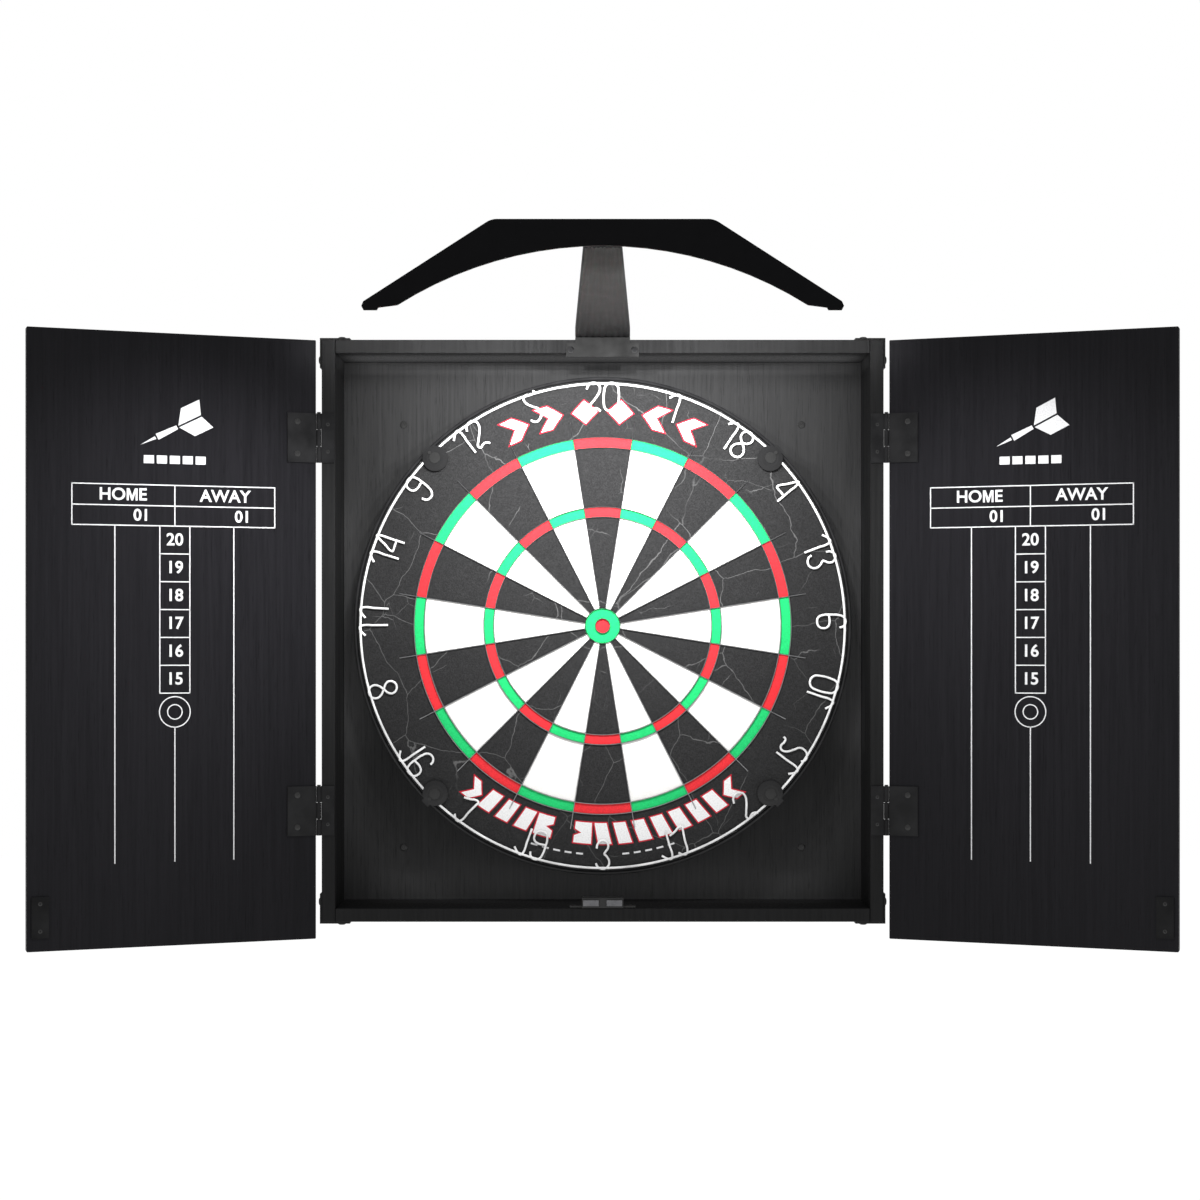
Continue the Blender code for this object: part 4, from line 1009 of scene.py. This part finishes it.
def lamp_arm():
    """The arm, ribbed lengthwise underneath and rounded along its sides."""
    low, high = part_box("light_arm")
    root_half = (high.x - low.x) / 2
    bend, tip = FRONT_PLANE + 0.002, -low.y
    stations = [(-high.y, 0.010), (bend - 0.010, 0.010), (bend, 0.0104)]  # distance off the wall, thickness
    stations += [(bend + (tip - bend) * t / 8, 0.011 - 0.002 * t / 8) for t in range(1, 9)]
    shape = bmesh.new()
    rows = []
    for off_wall, thickness in stations:
        along = max(0.0, (off_wall - bend) / (tip - bend))
        half = root_half + (ARM_TIP_HALF - root_half) * along
        floor = low.z + ARM_RISE * along
        corner = ARM_CORNER
        section = [(x * (half - corner), z) for x, z in ribbed_floor()]
        section += arc((half - corner, corner), corner, -90, 0, 3)[1:]
        section += arc((half - corner, thickness - corner), corner, 0, 90, 3)
        section += arc((-half + corner, thickness - corner), corner, 90, 180, 3)
        section += arc((-half + corner, corner), corner, 180, 270, 3)[:-1]
        rows.append([shape.verts.new((x, -off_wall, floor + z)) for x, z in section])
    for first, second in zip(rows, rows[1:]):
        for j in range(len(first)):
            k = (j + 1) % len(first)
            shape.faces.new((first[j], first[k], second[k], second[j]))
    shape.faces.new(rows[0])
    shape.faces.new(rows[-1])
    bmesh.ops.recalc_face_normals(shape, faces=shape.faces)
    arm = piece("lamp_arm", mesh_of(shape, "lamp_arm", 50), "case", [LOOKS["arm_steel"]])
    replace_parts(arm, "light_arm")


# --- Stage, light and camera ---
LAMP_DROP = 0.0165  # from the diffuser's top to the circle that the light sources are on
LAMP_TURNS = (-21, -8, 8, 21)  # degrees either side of straight up
LAMP_POWER = 5.6  # watts
SPILL_TURN = 27
SPILL_POWERS = (("left", -1, 13), ("right", 1, 9.5))
SPILL_AIM = (0.37, -0.13, 0.045)
SURROUND_LIGHT = 0.5  # the white surroundings' strength as light; they are seen at full strength
FLOOR_HALF = 15
FLOOR_GLOW = 0.56
CAMERA_AT = (0, -1.990, -0.010)
CAMERA_LENS = 64.35  # millimetres, on a 36 mm sensor
CAMERA_SHIFT = (-0.0022, 0.035)


def spot(name, at, towards, power, half_angle, radius):
    """A soft-edged spot that doesn't show itself. The radius is its own size, which softens shadows."""
    data = bpy.data.lights.new(name, "SPOT")
    data.energy = power
    data.spot_size = math.radians(2 * half_angle)
    data.spot_blend = 1.0
    data.shadow_soft_size = radius
    lamp = bpy.data.objects.new(name, data)
    lamp.location = at
    lamp.rotation_euler = (Vector(towards) - Vector(at)).to_track_quat("-Z", "Y").to_euler()
    lamp.visible_camera = lamp.visible_glossy = False
    bpy.context.scene.collection.objects.link(lamp)


def lamp_light():
    """The lamp's own light: a row of sources just under the diffuser, and its spill on the doors."""
    low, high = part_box("light_diffuser")
    y = (low.y + high.y) / 2
    reach = high.z - LAMP_DROP
    for i, turn in enumerate(LAMP_TURNS):
        x, z = reach * math.sin(math.radians(turn)), reach * math.cos(math.radians(turn))
        aim = (x * 0.4, -BOARD_FACE, 0.13)
        spot(f"lamp_light_{i}", (x, y, z), aim, LAMP_POWER, half_angle=42, radius=0.006)
    aim_x, aim_y, aim_z = SPILL_AIM
    for name, side, power in SPILL_POWERS:
        x, z = side * reach * math.sin(math.radians(SPILL_TURN)), reach * math.cos(math.radians(SPILL_TURN))
        aim = (side * aim_x, aim_y, aim_z)
        spot(f"lamp_spill_{name}", (x, y, z), aim, power, half_angle=33, radius=0.02)


def strip(name, at, tilt, length, breadth, power, roll=0):
    """A long low light, facing up at tilt 180 and at the wall at tilt 90, upright at roll 90."""
    data = bpy.data.lights.new(name, "AREA")
    data.shape = "RECTANGLE"
    data.size, data.size_y = length, breadth
    data.energy = power
    lamp = bpy.data.objects.new(name, data)
    lamp.location = at
    lamp.rotation_euler = (math.radians(tilt), math.radians(roll), 0)
    lamp.visible_camera = lamp.visible_glossy = False
    bpy.context.scene.collection.objects.link(lamp)


def bounce():
    """Light thrown back onto the case's top board and into the gap round the board."""
    strip("under_top", (0, -0.036, 0.236), tilt=180, length=0.46, breadth=0.04, power=0.26)
    for name, side in SIDES:
        above = (side * 0.160, -FRONT_PLANE - 0.040, 0.258)
        strip(f"top_edge_{name}", above, tilt=90, length=0.18, breadth=0.012, power=0.13)
        beside = (side * 0.2323, -0.030, 0)
        strip(f"gap_{name}", beside, tilt=90, length=0.22, breadth=0.008, power=0.017, roll=90)
    strip("gap_below", (0, -0.034, -0.2340), tilt=90, length=0.42, breadth=0.008, power=0.026)


def stage():
    """A pale floor at its true depth below the board, and white surroundings."""
    shape = bmesh.new()
    bmesh.ops.create_grid(shape, x_segments=1, y_segments=1, size=FLOOR_HALF)
    floor = bpy.data.objects.new("floor", mesh_of(shape, "floor"))
    floor.location = (0, 0, BOARD_CENTRE.z - BULL_ABOVE_FLOOR)
    look = Look("pale_floor", 0.9, specular=0.0)
    look.colour(look.mix(look.noise(3, detail=2), (0.93, 0.93, 0.93), (0.95, 0.95, 0.95)))
    look.shader.inputs["Emission Color"].default_value = (1, 1, 1, 1)
    look.shader.inputs["Emission Strength"].default_value = FLOOR_GLOW
    floor.data.materials.append(look.material)
    bpy.context.scene.collection.objects.link(floor)
    world = bpy.data.worlds.new("studio")
    world.use_nodes = True
    tree = world.node_tree
    seen = tree.nodes.new("ShaderNodeLightPath").outputs["Is Camera Ray"]
    level = tree.nodes.new("ShaderNodeMapRange")
    level.inputs["To Min"].default_value = SURROUND_LIGHT
    level.inputs["To Max"].default_value = 1.0
    background = tree.nodes["Background"]
    background.inputs["Color"].default_value = (1, 1, 1, 1)
    tree.links.new(seen, level.inputs["Value"])
    tree.links.new(level.outputs[0], background.inputs["Strength"])
    bpy.context.scene.world = world
    bpy.context.scene.view_settings.view_transform = "Standard"


def camera():
    data = bpy.data.cameras.new("camera")
    data.sensor_width = 36
    data.lens = CAMERA_LENS
    data.shift_x, data.shift_y = CAMERA_SHIFT
    made = bpy.data.objects.new("camera", data)
    made.location = CAMERA_AT
    made.rotation_euler = (math.radians(90), 0, 0)
    bpy.context.scene.collection.objects.link(made)
    bpy.context.scene.camera = made


camera()
sisal_beds()
rim()
spider()
number_ring()
clip_knobs()
board_print()
for hand_name, hand_side in SIDES:
    door_print(hand_name, hand_side)
screws()
lamp_head()
lamp_arm()
stage()
lamp_light()
bounce()
